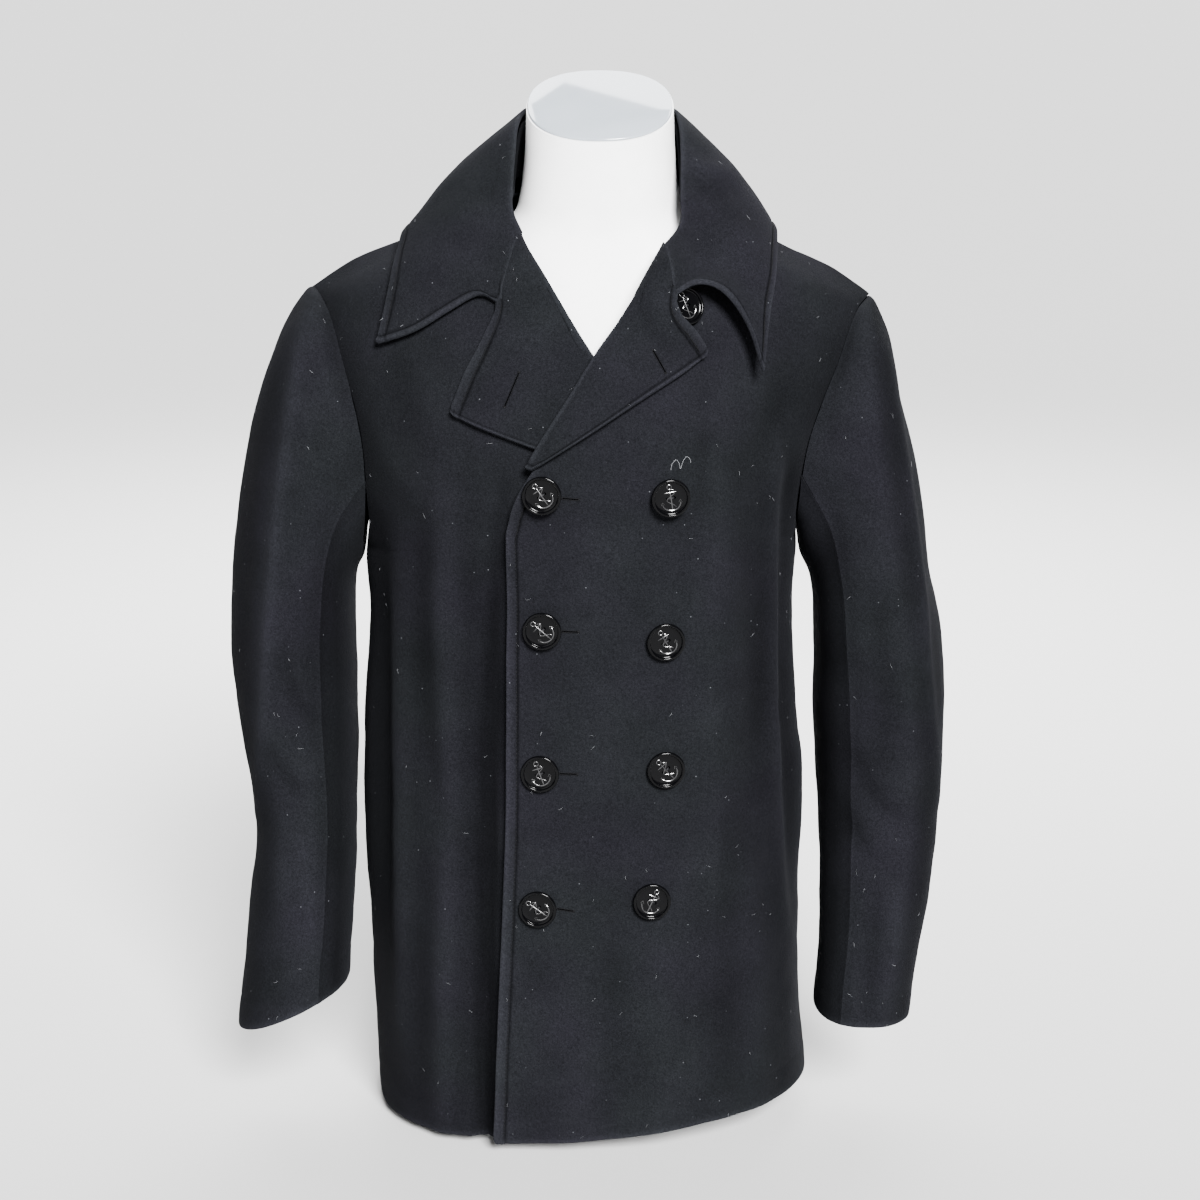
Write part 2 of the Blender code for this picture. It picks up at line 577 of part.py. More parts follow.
def sleeve_ring(row, sign, count):
    """One section of the hanging sleeve, started at its outer side."""
    ring = []
    for i in range(count):
        angle = 2 * math.pi * i / count
        c, s = math.cos(angle), math.sin(angle)
        across = 0.5 + 0.5 * math.copysign(abs(c) ** (2 / SLEEVE_CORNER), c)
        along = math.copysign(abs(s) ** (2 / SLEEVE_CORNER), s)
        x = row.in_x + CLOTH + (row.out_x - row.in_x - 2 * CLOTH) * across
        z = row.in_z + (row.out_z - row.in_z) * across
        ring.append(Vector((sign * x, row.mid_y - (row.half_depth - CLOTH) * along, z)))
    return ring


def sleeve_rings(side):
    sign = 1 if side == "left" else -1
    loop = armhole_loop(side)
    rows = SLEEVE_LEFT if side == "left" else SLEEVE_RIGHT
    rings = [sleeve_ring(row, sign, len(loop)) for row in rows]
    blended = []
    for depth, ring in enumerate(rings[:3]):
        blended.append([p.lerp(q, HEAD_BLEND[depth]) for p, q in zip(ring, loop)])
    rings[:3] = blended
    first = []
    bottom = len(ARMHOLE) - 1
    for i, (p, q) in enumerate(zip(loop, rings[0])):
        near_bottom = max(0.0, 1 - abs(i - bottom) / UNDERARM_ROWS)
        gap = SLEEVE_GAP if i == 0 else ARMHOLE_FOLD
        rise = Vector((sign * UNDERARM_OUT, 0, UNDERARM_RISE)) * near_bottom
        first.append(p + (q - p).normalized() * gap + rise)
    return [first] + rings


def sleeve_grid(side, piece):
    """The top sleeve or the under sleeve, cut from the sleeve's rings."""
    rings = sleeve_rings(side)
    count = len(rings[0])
    first, last = FRONT_SEAM, count + BACK_SEAM
    span = range(first, last + 1) if piece == "under" else range(last - count, first + 1)
    grid = [[ring[i % count].copy() for i in span] for ring in rings]
    for row in grid:
        row[0] = row[0] + (row[1] - row[0]).normalized() * SEAM / 2
        row[-1] = row[-1] + (row[-2] - row[-1]).normalized() * SEAM / 2
    return grid


# --------------------------------------------------------------- making objects
def clear_scene():
    for old in list(bpy.data.objects):
        bpy.data.objects.remove(old, do_unlink=True)


def make_collection(name):
    collection = bpy.data.collections.new(name)
    bpy.context.scene.collection.children.link(collection)
    return collection


def make_material(name, kind):
    colour, roughness, metallic = COLOURS[kind]
    material = bpy.data.materials.new(name)
    material.use_nodes = True
    shader = material.node_tree.nodes["Principled BSDF"]
    shader.inputs["Base Color"].default_value = (*colour, 1.0)
    shader.inputs["Roughness"].default_value = roughness
    shader.inputs["Metallic"].default_value = metallic
    return material


def make_object(name, mesh, kind, collection):
    piece = bpy.data.objects.new(name, mesh)
    mesh.materials.append(make_material(name + "_" + kind, kind))
    collection.objects.link(piece)
    return piece


def grid_mesh(name, grid, outward):
    """A mesh of quads through a grid, its faces turned the way outward points."""
    mesh = bpy.data.meshes.new(name)
    bm = bmesh.new()
    rows = [[bm.verts.new(point) for point in row] for row in grid]
    for low, high in zip(rows, rows[1:]):
        for i in range(len(low) - 1):
            bm.faces.new((low[i], low[i + 1], high[i + 1], high[i]))
    bm.normal_update()
    face = bm.faces[:][len(bm.faces) // 2]
    if face.normal.dot(outward(face.calc_center_median())) < 0:
        bmesh.ops.reverse_faces(bm, faces=bm.faces[:])
    bm.to_mesh(mesh)
    bm.free()
    mesh.shade_smooth()
    return mesh


def make_panel(name, grid, outward, thickness, offset, collection):
    """An open surface thickened into cloth, outwards (1) or inwards (-1)."""
    piece = make_object(name, grid_mesh(name, grid, outward), "wool", collection)
    solid = piece.modifiers.new("cloth", "SOLIDIFY")
    solid.thickness = thickness
    solid.offset = offset
    solid.use_even_offset = False
    return piece


def from_middle(point):
    return Vector((point.x, point.y - RIDGE_Y, 0.0))


def to_front(_):
    return Vector((0, -1, 0))


def make_body(collection):
    for side in ("right", "left"):
        grid = front_grid(side, FRONT_COLUMNS)
        make_panel("front_" + side, grid, from_middle, CLOTH, 1, collection)
    make_panel("back", back_grid(BACK_COLUMNS), from_middle, CLOTH, 1, collection)


def make_collar(collection):
    for side in ("right", "left"):
        make_panel("lapel_" + side, lapel_grid(side), to_front, DOUBLE_CLOTH, 1, collection)
    make_panel("collar_leaf", leaf_grid(), from_middle, DOUBLE_CLOTH, 1, collection)
    make_panel("collar_stand", stand_grid(), from_middle, CLOTH, 0, collection)


def to_left(_):
    return Vector((1, 0, 0))


def to_right(_):
    return Vector((-1, 0, 0))


def make_sleeves(collection):
    for side, piece, outward in (("right", "top", to_right), ("right", "under", to_left),
                                 ("left", "top", to_left), ("left", "under", to_right)):
        name = "sleeve_" + side + "_" + piece
        make_panel(name, sleeve_grid(side, piece), outward, CLOTH, 1, collection)


def button_mesh():
    """Half the section of a button with a raised rim and a dished middle."""
    mesh = bpy.data.meshes.new("button")
    bm = bmesh.new()
    verts = []
    for row in BUTTON_PROFILE:
        verts.append(bm.verts.new((row.out * BUTTON_RADIUS, 0.0, row.up * BUTTON_THICKNESS)))
    for low, high in zip(verts, verts[1:]):
        bm.edges.new((low, high))
    bm.to_mesh(mesh)
    bm.free()
    return mesh


def hole_cutter(collection):
    mesh = bpy.data.meshes.new("button_holes")
    bm = bmesh.new()
    spread = BUTTON_HOLE_SPREAD
    for x, y in ((spread, 0), (-spread, 0), (0, spread), (0, -spread)):
        bmesh.ops.create_cone(bm, cap_ends=True, segments=HOLE_SIDES, radius1=BUTTON_HOLE_RADIUS,
                              radius2=BUTTON_HOLE_RADIUS, depth=4 * BUTTON_THICKNESS,
                              matrix=Matrix.Translation((x, y, 0)))
    bm.to_mesh(mesh)
    bm.free()
    cutter = bpy.data.objects.new("button_holes", mesh)
    cutter.hide_render = True
    cutter.display_type = "WIRE"
    collection.objects.link(cutter)
    return cutter


def place_button(row):
    """Where a button stands: on the left front, facing the way the cloth faces."""
    level = level_at(row.x, row.height)
    under = on_front("left", row.x, level, CLOTH)
    reach = FACING_REACH * BUTTON_RADIUS
    across = on_front("left", row.x + reach, level, 0) - on_front("left", row.x - reach, level, 0)
    step = reach / (shoulder_height(row.x) - hem_height(row.x))
    up = on_front("left", row.x, level + step, 0) - on_front("left", row.x, level - step, 0)
    facing = across.cross(up).normalized()
    turned = facing.to_track_quat("Z", "Y").to_matrix().to_4x4()
    spin = Matrix.Rotation(math.radians(row.spin), 4, "Z")
    return Matrix.Translation(under + facing * BUTTON_LIFT) @ turned @ spin


def make_buttons(collection, cutters):
    holes = hole_cutter(cutters)
    for row in BUTTONS:
        button = make_object(row.name, button_mesh(), "button", collection)
        button.matrix_world = place_button(row)
        turn = button.modifiers.new("turned", "SCREW")
        turn.axis = "Z"
        turn.steps = BUTTON_STEPS
        turn.render_steps = BUTTON_STEPS
        turn.use_merge_vertices = True
        turn.merge_threshold = BUTTON_MERGE
        own_holes = holes.copy()
        own_holes.name = row.name + "_holes"
        cutters.objects.link(own_holes)
        own_holes.matrix_world = button.matrix_world
        cut = button.modifiers.new("holes", "BOOLEAN")
        cut.object = own_holes
        cut.operation = "DIFFERENCE"
    bpy.data.objects.remove(holes, do_unlink=True)


def form_ring(row, scale=1.0, rise=0.0):
    ring = []
    tilt = NECK_TILT * ease((row.height - NECK_TILT_START) / (FORM[-1].height - NECK_TILT_START))
    for i in range(FORM_STEPS):
        angle = 2 * math.pi * i / FORM_STEPS
        c, s = math.cos(angle), math.sin(angle)
        depth = row.back if s > 0 else row.front
        x = scale * row.half_width * math.copysign(abs(c) ** (2 / FORM_CORNER), c)
        y = scale * depth * math.copysign(abs(s) ** (2 / FORM_CORNER), s)
        ring.append(Vector((x, y, row.height + tilt * y + rise)))
    return ring


def closed_loft(name, rings, kind, collection):
    """Rings joined by quads, with a flat cap at each end."""
    mesh = bpy.data.meshes.new(name)
    bm = bmesh.new()
    rows = [[bm.verts.new(point) for point in ring] for ring in rings]
    for low, high in zip(rows, rows[1:]):
        for i in range(len(low)):
            j = (i + 1) % len(low)
            bm.faces.new((low[i], low[j], high[j], high[i]))
    bm.faces.new(list(reversed(rows[0])))
    bm.faces.new(rows[-1])
    bm.to_mesh(mesh)
    bm.free()
    mesh.shade_smooth()
    return make_object(name, mesh, kind, collection)


def make_form(collection):
    closed_loft("form_torso", [form_ring(row) for row in FORM], "form", collection)
    top = FORM[-1]
    cap = [form_ring(top, CAP_SCALE, rise) for rise in (SEAM, SEAM + CAP_THICKNESS)]
    closed_loft("form_neck_cap", cap, "cap", collection)


def main():
    clear_scene()
    coat = make_collection(OBJECT_NAME)
    cutters = make_collection("cutters")
    make_form(coat)
    make_body(coat)
    make_collar(coat)
    make_sleeves(coat)
    make_buttons(coat, cutters)


main()
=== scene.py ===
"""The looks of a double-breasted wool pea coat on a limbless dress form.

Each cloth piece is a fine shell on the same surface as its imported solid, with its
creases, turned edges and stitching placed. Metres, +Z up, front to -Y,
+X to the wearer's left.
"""
import math
import random
from collections import namedtuple

import bmesh
import bpy
import numpy as np
from mathutils import Matrix, Vector, noise
from mathutils.bvhtree import BVHTree


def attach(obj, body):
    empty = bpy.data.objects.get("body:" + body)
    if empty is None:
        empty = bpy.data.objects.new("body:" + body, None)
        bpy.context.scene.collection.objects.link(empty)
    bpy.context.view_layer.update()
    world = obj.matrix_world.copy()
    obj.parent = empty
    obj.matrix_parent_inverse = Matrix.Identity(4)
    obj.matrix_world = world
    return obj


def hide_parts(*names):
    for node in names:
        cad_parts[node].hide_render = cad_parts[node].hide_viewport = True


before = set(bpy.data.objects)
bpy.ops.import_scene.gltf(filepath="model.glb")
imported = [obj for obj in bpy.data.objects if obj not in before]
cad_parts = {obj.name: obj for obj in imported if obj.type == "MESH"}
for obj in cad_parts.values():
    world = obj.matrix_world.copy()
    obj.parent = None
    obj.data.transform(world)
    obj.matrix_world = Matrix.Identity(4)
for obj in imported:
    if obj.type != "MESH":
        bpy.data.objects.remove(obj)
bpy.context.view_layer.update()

CAP_THICKNESS = 0.0022
CAP_SCALE = 0.985
CAP_GAP = 0.0004
FACING_REACH = 0.6        # share of a button's radius over which the cloth's slope is taken


def rows(kind, *values):
    """A table, each line of values made into one named row."""
    return tuple(kind(*line) for line in values)


# ---------------------------------------------------------------- cloth sizes
CLOTH = 0.0025            # one layer of melton
DOUBLE_CLOTH = 0.0040     # lapels and collar leaf, cloth with its facing
SEAM = -0.0008            # two sewn pieces overlap by this, so that no slit shows
LAYER_GAP = 0.0006        # space left between two pieces that lie on each other
FRONT, BACK = -1, 1

# ------------------------------------------------------------------ the body
# half widths to the wearer's right and left, and depths to the front and back
TorsoRow = namedtuple("TorsoRow", "level right left front back")
TORSO = rows(
    TorsoRow,
    (0.0, 0.204, 0.19, 0.149, 0.142), (0.12, 0.208, 0.183, 0.145, 0.137),
    (0.25, 0.211, 0.182, 0.141, 0.13), (0.36, 0.214, 0.184, 0.14, 0.126),
    (0.48, 0.212, 0.176, 0.142, 0.127), (0.58, 0.206, 0.171, 0.145, 0.131),
    (0.67, 0.208, 0.174, 0.147, 0.135), (0.76, 0.219, 0.189, 0.146, 0.135),
    (0.83, 0.231, 0.206, 0.142, 0.132), (0.9, 0.245, 0.226, 0.136, 0.127),
    (0.95, 0.251, 0.234, 0.131, 0.122), (1.0, 0.252, 0.236, 0.126, 0.118),
)
CORNER_X = 2.6            # superellipse power of the body's section, across
CORNER_Y = 2.2            # and front to back
CHEST_LEVEL = 0.62        # above this the section closes towards the shoulder line
CHEST_ROUND = 2.6
SHOULDER_ROUND = 2.1
RIDGE_Y = 0.012           # where the shoulder seam lies, front to back
NECK_SET_BACK = 0.062     # how much further back the back neck lies
NECK_REACH = 0.135
NORMAL_STEP = 0.006       # level step over which the body's slope is measured
NORMAL_TOP = 0.992        # the slope is measured no higher than this
TURN_STEP = 1.5           # and the step round the body, in degrees,
SIDE_TURN = 87.5          # no nearer the side seam than this

HemRow = namedtuple("HemRow", "x height")
HEM = rows(
    HemRow,
    (-0.21, 0.008), (-0.1, 0.011), (0.0, 0.017), (0.1, 0.029), (0.2, 0.033),
)
ShoulderRow = namedtuple("ShoulderRow", "x height")
SHOULDER = rows(
    ShoulderRow,
    (0.0, 0.836), (0.078, 0.826), (0.12, 0.81), (0.17, 0.788), (0.214, 0.77), (0.252, 0.745),
)
SHOULDER_TILT = 0.018     # the wearer's left shoulder hangs a little lower
LEFT_STRETCH = 1.055      # and is a little narrower

# turn at which front and back panels end: the side seam, then the armhole
ArmholeRow = namedtuple("ArmholeRow", "level front back")
FRONT_COLUMNS, BACK_COLUMNS = 24, 32
ARMHOLE = rows(
    ArmholeRow,
    (0.665, 90.0, 90.0), (0.685, 76.0, 78.0), (0.715, 68.5, 71.0), (0.76, 63.5, 66.0),
    (0.81, 61.0, 63.5), (0.86, 60.5, 62.5), (0.905, 61.5, 63.0), (0.945, 64.0, 65.0),
    (0.975, 69.0, 69.0), (1.0, 89.0, 89.0),
)
LOWER_LEVELS = (0.0, 0.07, 0.15, 0.23, 0.31, 0.39, 0.47, 0.54, 0.605)

# ----------------------------------------------------------------- the fronts
# front edge of each front, then its roll line from the break up to the neck
EdgeRow = namedtuple("EdgeRow", "level left right")
FRONT_EDGE = rows(
    EdgeRow,
    (0.0, -0.092, 0.09), (0.15, -0.087, 0.088), (0.35, -0.08, 0.084), (0.6, -0.077, 0.08),
    (0.7, -0.074, 0.074), (0.742, -0.06, 0.056), (0.816, -0.018, 0.01), (0.88, 0.024, -0.026),
    (0.915, 0.046, -0.047), (0.945, 0.06, -0.065), (1.0, 0.08, -0.082),
)
BREAK_LEVEL = 0.742
SEAT_STEPS = 5            # rounds of correction when a point is seated on the body
ROLL_TOP = {"left": 0.935, "right": 0.955}
ROLL_LIFT = 0.016         # how far the roll stands off the body at the neck
ROLL_REACH = 0.055
OVERLAP_LIFT = CLOTH + 2 * LAYER_GAP
OVERLAP_END = 0.125       # the overlap's step is gone by here, across
LAPEL_STEP = 0.0078       # extra room where the right lapel lies under the left front
LAPEL_STEP_HEIGHT = 0.565
LAPEL_STEP_END = 0.095    # this extra room is gone by here, across
STEP_REACH = 0.032        # length over which a step in the cloth runs out
NECK_FADE = 0.945         # above this the fronts settle back to the shoulder seam
ROLL_START = {"left": 0.742, "right": 0.850}
ROLL_SETBACK = 0.009      # the front's own edge stops this far short of the roll
NECK_SETBACK = 0.002      # and further back where the collar leaf takes over
NECK_START = 0.90
SETBACK_RUN = 0.045       # level range over which either one comes in

# ---------------------------------------------------------------- the lapels
# outer edge of each lapel from the break, along the lower edge, to the tip and
# on to the notch at the gorge seam; "share" is the share of the roll's length
LapelRow = namedtuple("LapelRow", "share x height")
LAPEL_LEFT = rows(
    LapelRow,
    (0.0, -0.058, 0.6165), (0.12, -0.046, 0.6245), (0.3, -0.008, 0.648), (0.48, 0.03, 0.672),
    (0.66, 0.066, 0.694), (0.76, 0.091, 0.711), (0.84, 0.08, 0.728), (0.91, 0.067, 0.742),
    (1.0, 0.06, 0.758),
)
LAPEL_RIGHT = rows(
    LapelRow,
    (0.0, 0.048, 0.607), (0.12, 0.03, 0.611), (0.3, -0.014, 0.622), (0.48, -0.056, 0.6345),
    (0.66, -0.098, 0.649), (0.76, -0.126, 0.66), (0.82, -0.113, 0.692), (0.88, -0.099, 0.718),
    (1.0, -0.0835, 0.7485),
)
LAPEL_TIP = 0.76
LAPEL_SWELL = 0.0012
ROLL_DROP = 0.0025        # how far the turn over the roll dips at its edge
BUTTON_ROOM = 0.0090      # height that the button under the collar takes
BUTTON_MARGIN = 0.004     # kept this far round the button, then sloping away
BUTTON_SLOPE = 0.020

# ----------------------------------------------------------------- the collar
# the fold round the neck, and the leaf's outer edge where it lies on the body
CollarRow = namedtuple("CollarRow", "fold_x fold_y fold_z edge_x edge_z edge_face lift swell")
COLLAR_RIGHT = rows(
    CollarRow,
    (-0.0735, -0.056, 0.824, -0.183, 0.735, FRONT, 0.006, 0.006),
    (-0.0735, -0.044, 0.843, -0.177, 0.76, FRONT, 0.006, 0.008),
    (-0.072, -0.024, 0.866, -0.172, 0.782, FRONT, 0.006, 0.008),
    (-0.069, 0.004, 0.889, -0.167, 0.798, FRONT, 0.008, 0.007),
    (-0.0645, 0.034, 0.898, -0.16, 0.789, BACK, 0.009, 0.008),
    (-0.052, 0.064, 0.9, -0.14, 0.772, BACK, 0.006, 0.009),
    (-0.027, 0.08, 0.9, -0.08, 0.77, BACK, 0.006, 0.01),
)
COLLAR_BACK = CollarRow(0.0, 0.085, 0.9000, 0.0, 0.7700, BACK, 0.006, 0.010)
COLLAR_LEFT = rows(
    CollarRow,
    (0.0675, -0.06, 0.812, 0.141, 0.735, FRONT, 0.018, 0.004),
    (0.068, -0.048, 0.836, 0.146, 0.764, FRONT, 0.014, 0.007),
    (0.068, -0.026, 0.864, 0.149, 0.785, FRONT, 0.01, 0.008),
    (0.0665, 0.004, 0.889, 0.15, 0.797, FRONT, 0.008, 0.008),
    (0.0635, 0.034, 0.898, 0.148, 0.788, BACK, 0.009, 0.009),
    (0.052, 0.064, 0.9, 0.134, 0.77, BACK, 0.006, 0.009),
    (0.027, 0.08, 0.9, 0.08, 0.769, BACK, 0.006, 0.01),
)
# the leaf's free front edge, from the notch at the gorge seam out to the point
PointRow = namedtuple("PointRow", "share x height lift")
LEAF_END_RIGHT = rows(
    PointRow,
    (0.0, -0.0835, 0.7485, 0.0), (0.25, -0.101, 0.754, 0.001), (0.5, -0.127, 0.741, 0.002),
    (0.75, -0.156, 0.724, 0.003), (1.0, -0.189, 0.711, 0.003),
)
LEAF_END_LEFT = rows(
    PointRow,
    (0.0, 0.06, 0.758, 0.0), (0.25, 0.08, 0.767, 0.009), (0.5, 0.101, 0.76, 0.014),
    (0.75, 0.121, 0.733, 0.018), (1.0, 0.135, 0.693, 0.018),
)
GORGE_COLUMNS = 4         # the leaf's columns that end on the gorge seam
GORGE_SEAM = {"right": -0.0006, "left": -0.0012}   # overlap at the gorge, as at SEAM
LEAF_SHARES = (0.0, 0.08, 0.16, 0.24, 0.33, 0.50, 0.67, 0.83, 1.0)
STAND_DROP = 0.006        # the stand starts this far below the fold, inside it
StandRow = namedtuple("StandRow", "x y z")
STAND_RIGHT = rows(
    StandRow,
    (-0.079, -0.066, 0.806), (-0.08, -0.048, 0.816), (-0.08, -0.022, 0.827), (-0.08, 0.006, 0.834),
    (-0.074, 0.036, 0.842), (-0.056, 0.06, 0.845), (-0.029, 0.074, 0.846),
)
STAND_BACK = StandRow(0.0, 0.0780, 0.8460)

# ---------------------------------------------------------------- the sleeves
# outer and inner side of each hanging sleeve, its middle and its half depth
SleeveRow = namedtuple("SleeveRow", "out_x out_z in_x in_z mid_y half_depth")
SLEEVE_RIGHT = rows(
    SleeveRow,
    (0.264, 0.742, 0.216, 0.512, 0.0, 0.086), (0.281, 0.712, 0.219, 0.498, 0.0, 0.086),
    (0.299, 0.658, 0.2195, 0.48, 0.001, 0.086), (0.316, 0.591, 0.219, 0.452, 0.003, 0.085),
    (0.327, 0.513, 0.219, 0.42, 0.006, 0.083), (0.331, 0.445, 0.2195, 0.385, 0.008, 0.08),
    (0.328, 0.384, 0.22, 0.345, 0.007, 0.077), (0.319, 0.328, 0.2205, 0.307, 0.002, 0.073),
    (0.311, 0.273, 0.2215, 0.268, -0.007, 0.07), (0.316, 0.218, 0.2225, 0.228, -0.02, 0.067),
    (0.321, 0.165, 0.224, 0.186, -0.034, 0.064), (0.325, 0.127, 0.226, 0.162, -0.046, 0.061),
    (0.327, 0.093, 0.227, 0.136, -0.055, 0.058),
)
SLEEVE_LEFT = rows(
    SleeveRow,
    (0.246, 0.73, 0.184, 0.508, 0.0, 0.085), (0.257, 0.695, 0.19, 0.493, 0.0, 0.086),
    (0.268, 0.638, 0.1915, 0.474, 0.001, 0.086), (0.282, 0.58, 0.192, 0.448, 0.003, 0.085),
    (0.295, 0.502, 0.1925, 0.416, 0.006, 0.083), (0.307, 0.448, 0.1935, 0.382, 0.008, 0.08),
    (0.31, 0.388, 0.195, 0.342, 0.007, 0.077), (0.309, 0.331, 0.1965, 0.305, 0.003, 0.073),
    (0.306, 0.264, 0.1985, 0.266, -0.006, 0.07), (0.299, 0.208, 0.2, 0.226, -0.018, 0.067),
    (0.291, 0.165, 0.2, 0.184, -0.03, 0.064), (0.284, 0.133, 0.197, 0.144, -0.041, 0.061),
    (0.28, 0.103, 0.195, 0.104, -0.048, 0.058),
)
SLEEVE_CORNER = 2.3       # superellipse power of a sleeve's section
SLEEVE_GAP = 0.0018       # space from the armhole's edge to the sleeve head
ARMHOLE_FOLD = 0.0034     # and where the sleeve folds forward off the body
UNDERARM_OUT = 0.0065     # room for the folded cloth under the arm
UNDERARM_RISE = 0.0060
UNDERARM_ROWS = 4
HEAD_BLEND = (0.45, 0.18, 0.04)  # how far the first rings take the armhole's shape
FRONT_SEAM, BACK_SEAM = 6, -4   # armhole rows where the under sleeve starts and ends

# ---------------------------------------------------------------- the buttons
BUTTON_RADIUS = 0.0164
BUTTON_THICKNESS = 0.0048
BUTTON_LIFT = 0.0012      # the thread under a button holds it this far off the cloth
ButtonRow = namedtuple("ButtonRow", "name x height spin")
BUTTONS = rows(
    ButtonRow,
    ("button_edge_1", -0.047, 0.597, 35.0), ("button_edge_2", -0.048, 0.481, 50.0),
    ("button_edge_3", -0.0505, 0.354, 20.0), ("button_edge_4", -0.053, 0.231, 55.0),
    ("button_inner_1", 0.056, 0.595, 10.0), ("button_inner_2", 0.054, 0.471, 30.0),
    ("button_inner_3", 0.055, 0.357, 42.0), ("button_inner_4", 0.044, 0.238, -25.0),
    ("button_collar", 0.069, 0.739, 15.0),
)

# -------------------------------------------------------------- the dress form
FormRow = namedtuple("FormRow", "height half_width front back")
FORM = rows(
    FormRow,
    (0.0, 0.146, 0.094, 0.096), (0.1, 0.158, 0.106, 0.108), (0.2, 0.154, 0.104, 0.1),
    (0.3, 0.146, 0.098, 0.09), (0.4, 0.15, 0.104, 0.094), (0.5, 0.16, 0.114, 0.104),
    (0.58, 0.172, 0.12, 0.11), (0.65, 0.186, 0.118, 0.108), (0.7, 0.194, 0.104, 0.099),
    (0.735, 0.19, 0.086, 0.088), (0.76, 0.172, 0.074, 0.079), (0.782, 0.14, 0.066, 0.072),
    (0.8, 0.096, 0.061, 0.066), (0.815, 0.075, 0.059, 0.062), (0.835, 0.0685, 0.0585, 0.059),
    (0.87, 0.0645, 0.058, 0.058), (0.9055, 0.063, 0.058, 0.058),
)
FORM_CORNER = 2.25
NECK_TILT = math.tan(math.radians(24.0))   # the neck's cut slopes down to the front
NECK_TILT_START = 0.815
# ------------------------------------------------------------- reading tables
def read(rows, column, key):
    """Read a column of a table at a key, on a smooth curve through its rows."""
    keys = [row[0] for row in rows]
    values = [getattr(row, column) for row in rows]
    if key <= keys[0]:
        return values[0]
    if key >= keys[-1]:
        return values[-1]
    i = max(n for n, k in enumerate(keys) if k <= key)
    slopes = [(values[n + 1] - values[n]) / (keys[n + 1] - keys[n]) for n in range(len(keys) - 1)]
    start = slopes[i] if i == 0 else 0.5 * (slopes[i - 1] + slopes[i])
    end = slopes[i] if i == len(slopes) - 1 else 0.5 * (slopes[i] + slopes[i + 1])
    span = keys[i + 1] - keys[i]
    t = (key - keys[i]) / span
    return (values[i] * (1 + 2 * t) * (1 - t) ** 2 + start * span * t * (1 - t) ** 2
            + values[i + 1] * t * t * (3 - 2 * t) + end * span * t * t * (t - 1))


def straight(rows, column, key):
    """Read a column of a table at a key, on straight lines between its rows."""
    for low, high in zip(rows, rows[1:]):
        if key <= high[0]:
            t = (key - low[0]) / (high[0] - low[0])
            return getattr(low, column) * (1 - t) + getattr(high, column) * t
    return getattr(rows[-1], column)


def ease(t):
    """A soft step from 0 to 1."""
    t = min(max(t, 0.0), 1.0)
    return t * t * (3 - 2 * t)


# ------------------------------------------------------------ the body surface
def hem_height(x):
    return read(HEM, "height", x)


def shoulder_height(x):
    reach = x * LEFT_STRETCH if x > 0 else -x
    return read(SHOULDER, "height", reach) - SHOULDER_TILT * x - CLOTH


def ridge_y(x):
    return RIDGE_Y + NECK_SET_BACK * (1 - ease(abs(x) / NECK_REACH))


def half_width(x, level):
    return read(TORSO, "left" if x > 0 else "right", level) - CLOTH


def closing(level):
    """1 up to the chest, then falling to 0 at the shoulder line."""
    t = max(0.0, (level - CHEST_LEVEL) / (1 - CHEST_LEVEL))
    return max(0.0, 1 - t ** CHEST_ROUND) ** (1 / SHOULDER_ROUND)


def level_at(x, height):
    level = (height - hem_height(x)) / (shoulder_height(x) - hem_height(x))
    return min(level, 1.0)


def turn_at(x, level):
    share = min(abs(x) / half_width(x, level), 1.0)
    return math.copysign(math.degrees(math.asin(share ** (CORNER_X / 2))), x)


def body_point(turn, level, face):
    """A point on the inside of the body cloth."""
    angle = math.radians(turn)
    x = half_width(turn, level) * math.copysign(abs(math.sin(angle)) ** (2 / CORNER_X), turn)
    column = "front" if face == FRONT else "back"
    depth = (read(TORSO, column, level) - CLOTH) * max(math.cos(angle), 0.0) ** (2 / CORNER_Y)
    ridge = ridge_y(x)
    y = ridge + (face * depth - ridge) * closing(level)
    return Vector((x, y, hem_height(x) + level * (shoulder_height(x) - hem_height(x))))


def body_normal(turn, level, face):
    """The body surface's outward direction, worked out from neighbouring points."""
    turn = min(max(turn, -SIDE_TURN), SIDE_TURN)
    level = min(level, NORMAL_TOP)
    across = body_point(turn + TURN_STEP, level, face) - body_point(turn - TURN_STEP, level, face)
    below = max(level - NORMAL_STEP, 0)
    up = body_point(turn, level + NORMAL_STEP, face) - body_point(turn, below, face)
    return (across.cross(up) * -face).normalized()


def on_body(x, level, face, lift):
    """A point over the body at x, lifted off the inside of the cloth."""
    turn = turn_at(x, level)
    return body_point(turn, level, face) + body_normal(turn, level, face) * lift


def seat(place, x, height):
    """The x and level at which place(x, level) gives a point at x and height."""
    near_x, near_z = x, height
    for _ in range(SEAT_STEPS):
        point = place(near_x, level_at(near_x, near_z))
        near_x += x - point.x
        near_z += height - point.z
    return near_x, level_at(near_x, near_z)


# --------------------------------------------------------------- the two fronts
def front_lift(side, x, level):
    """How far the inside of a front stands off the body surface."""
    edge = read(FRONT_EDGE, side, level)
    away = x - edge if side == "left" else edge - x
    roll = ease((level - ROLL_START[side]) / (ROLL_TOP[side] - ROLL_START[side]))
    lift = ROLL_LIFT * roll * (1 - ease(away / ROLL_REACH))
    if side == "left":
        lift += OVERLAP_LIFT * ease((OVERLAP_END - x) / STEP_REACH)
        height = hem_height(x) + level * (shoulder_height(x) - hem_height(x))
        raised = ease((height - LAPEL_STEP_HEIGHT) / STEP_REACH)
        lift += LAPEL_STEP * raised * ease((LAPEL_STEP_END - x) / STEP_REACH)
    return lift * (1 - ease((level - NECK_FADE) / (1 - NECK_FADE)))


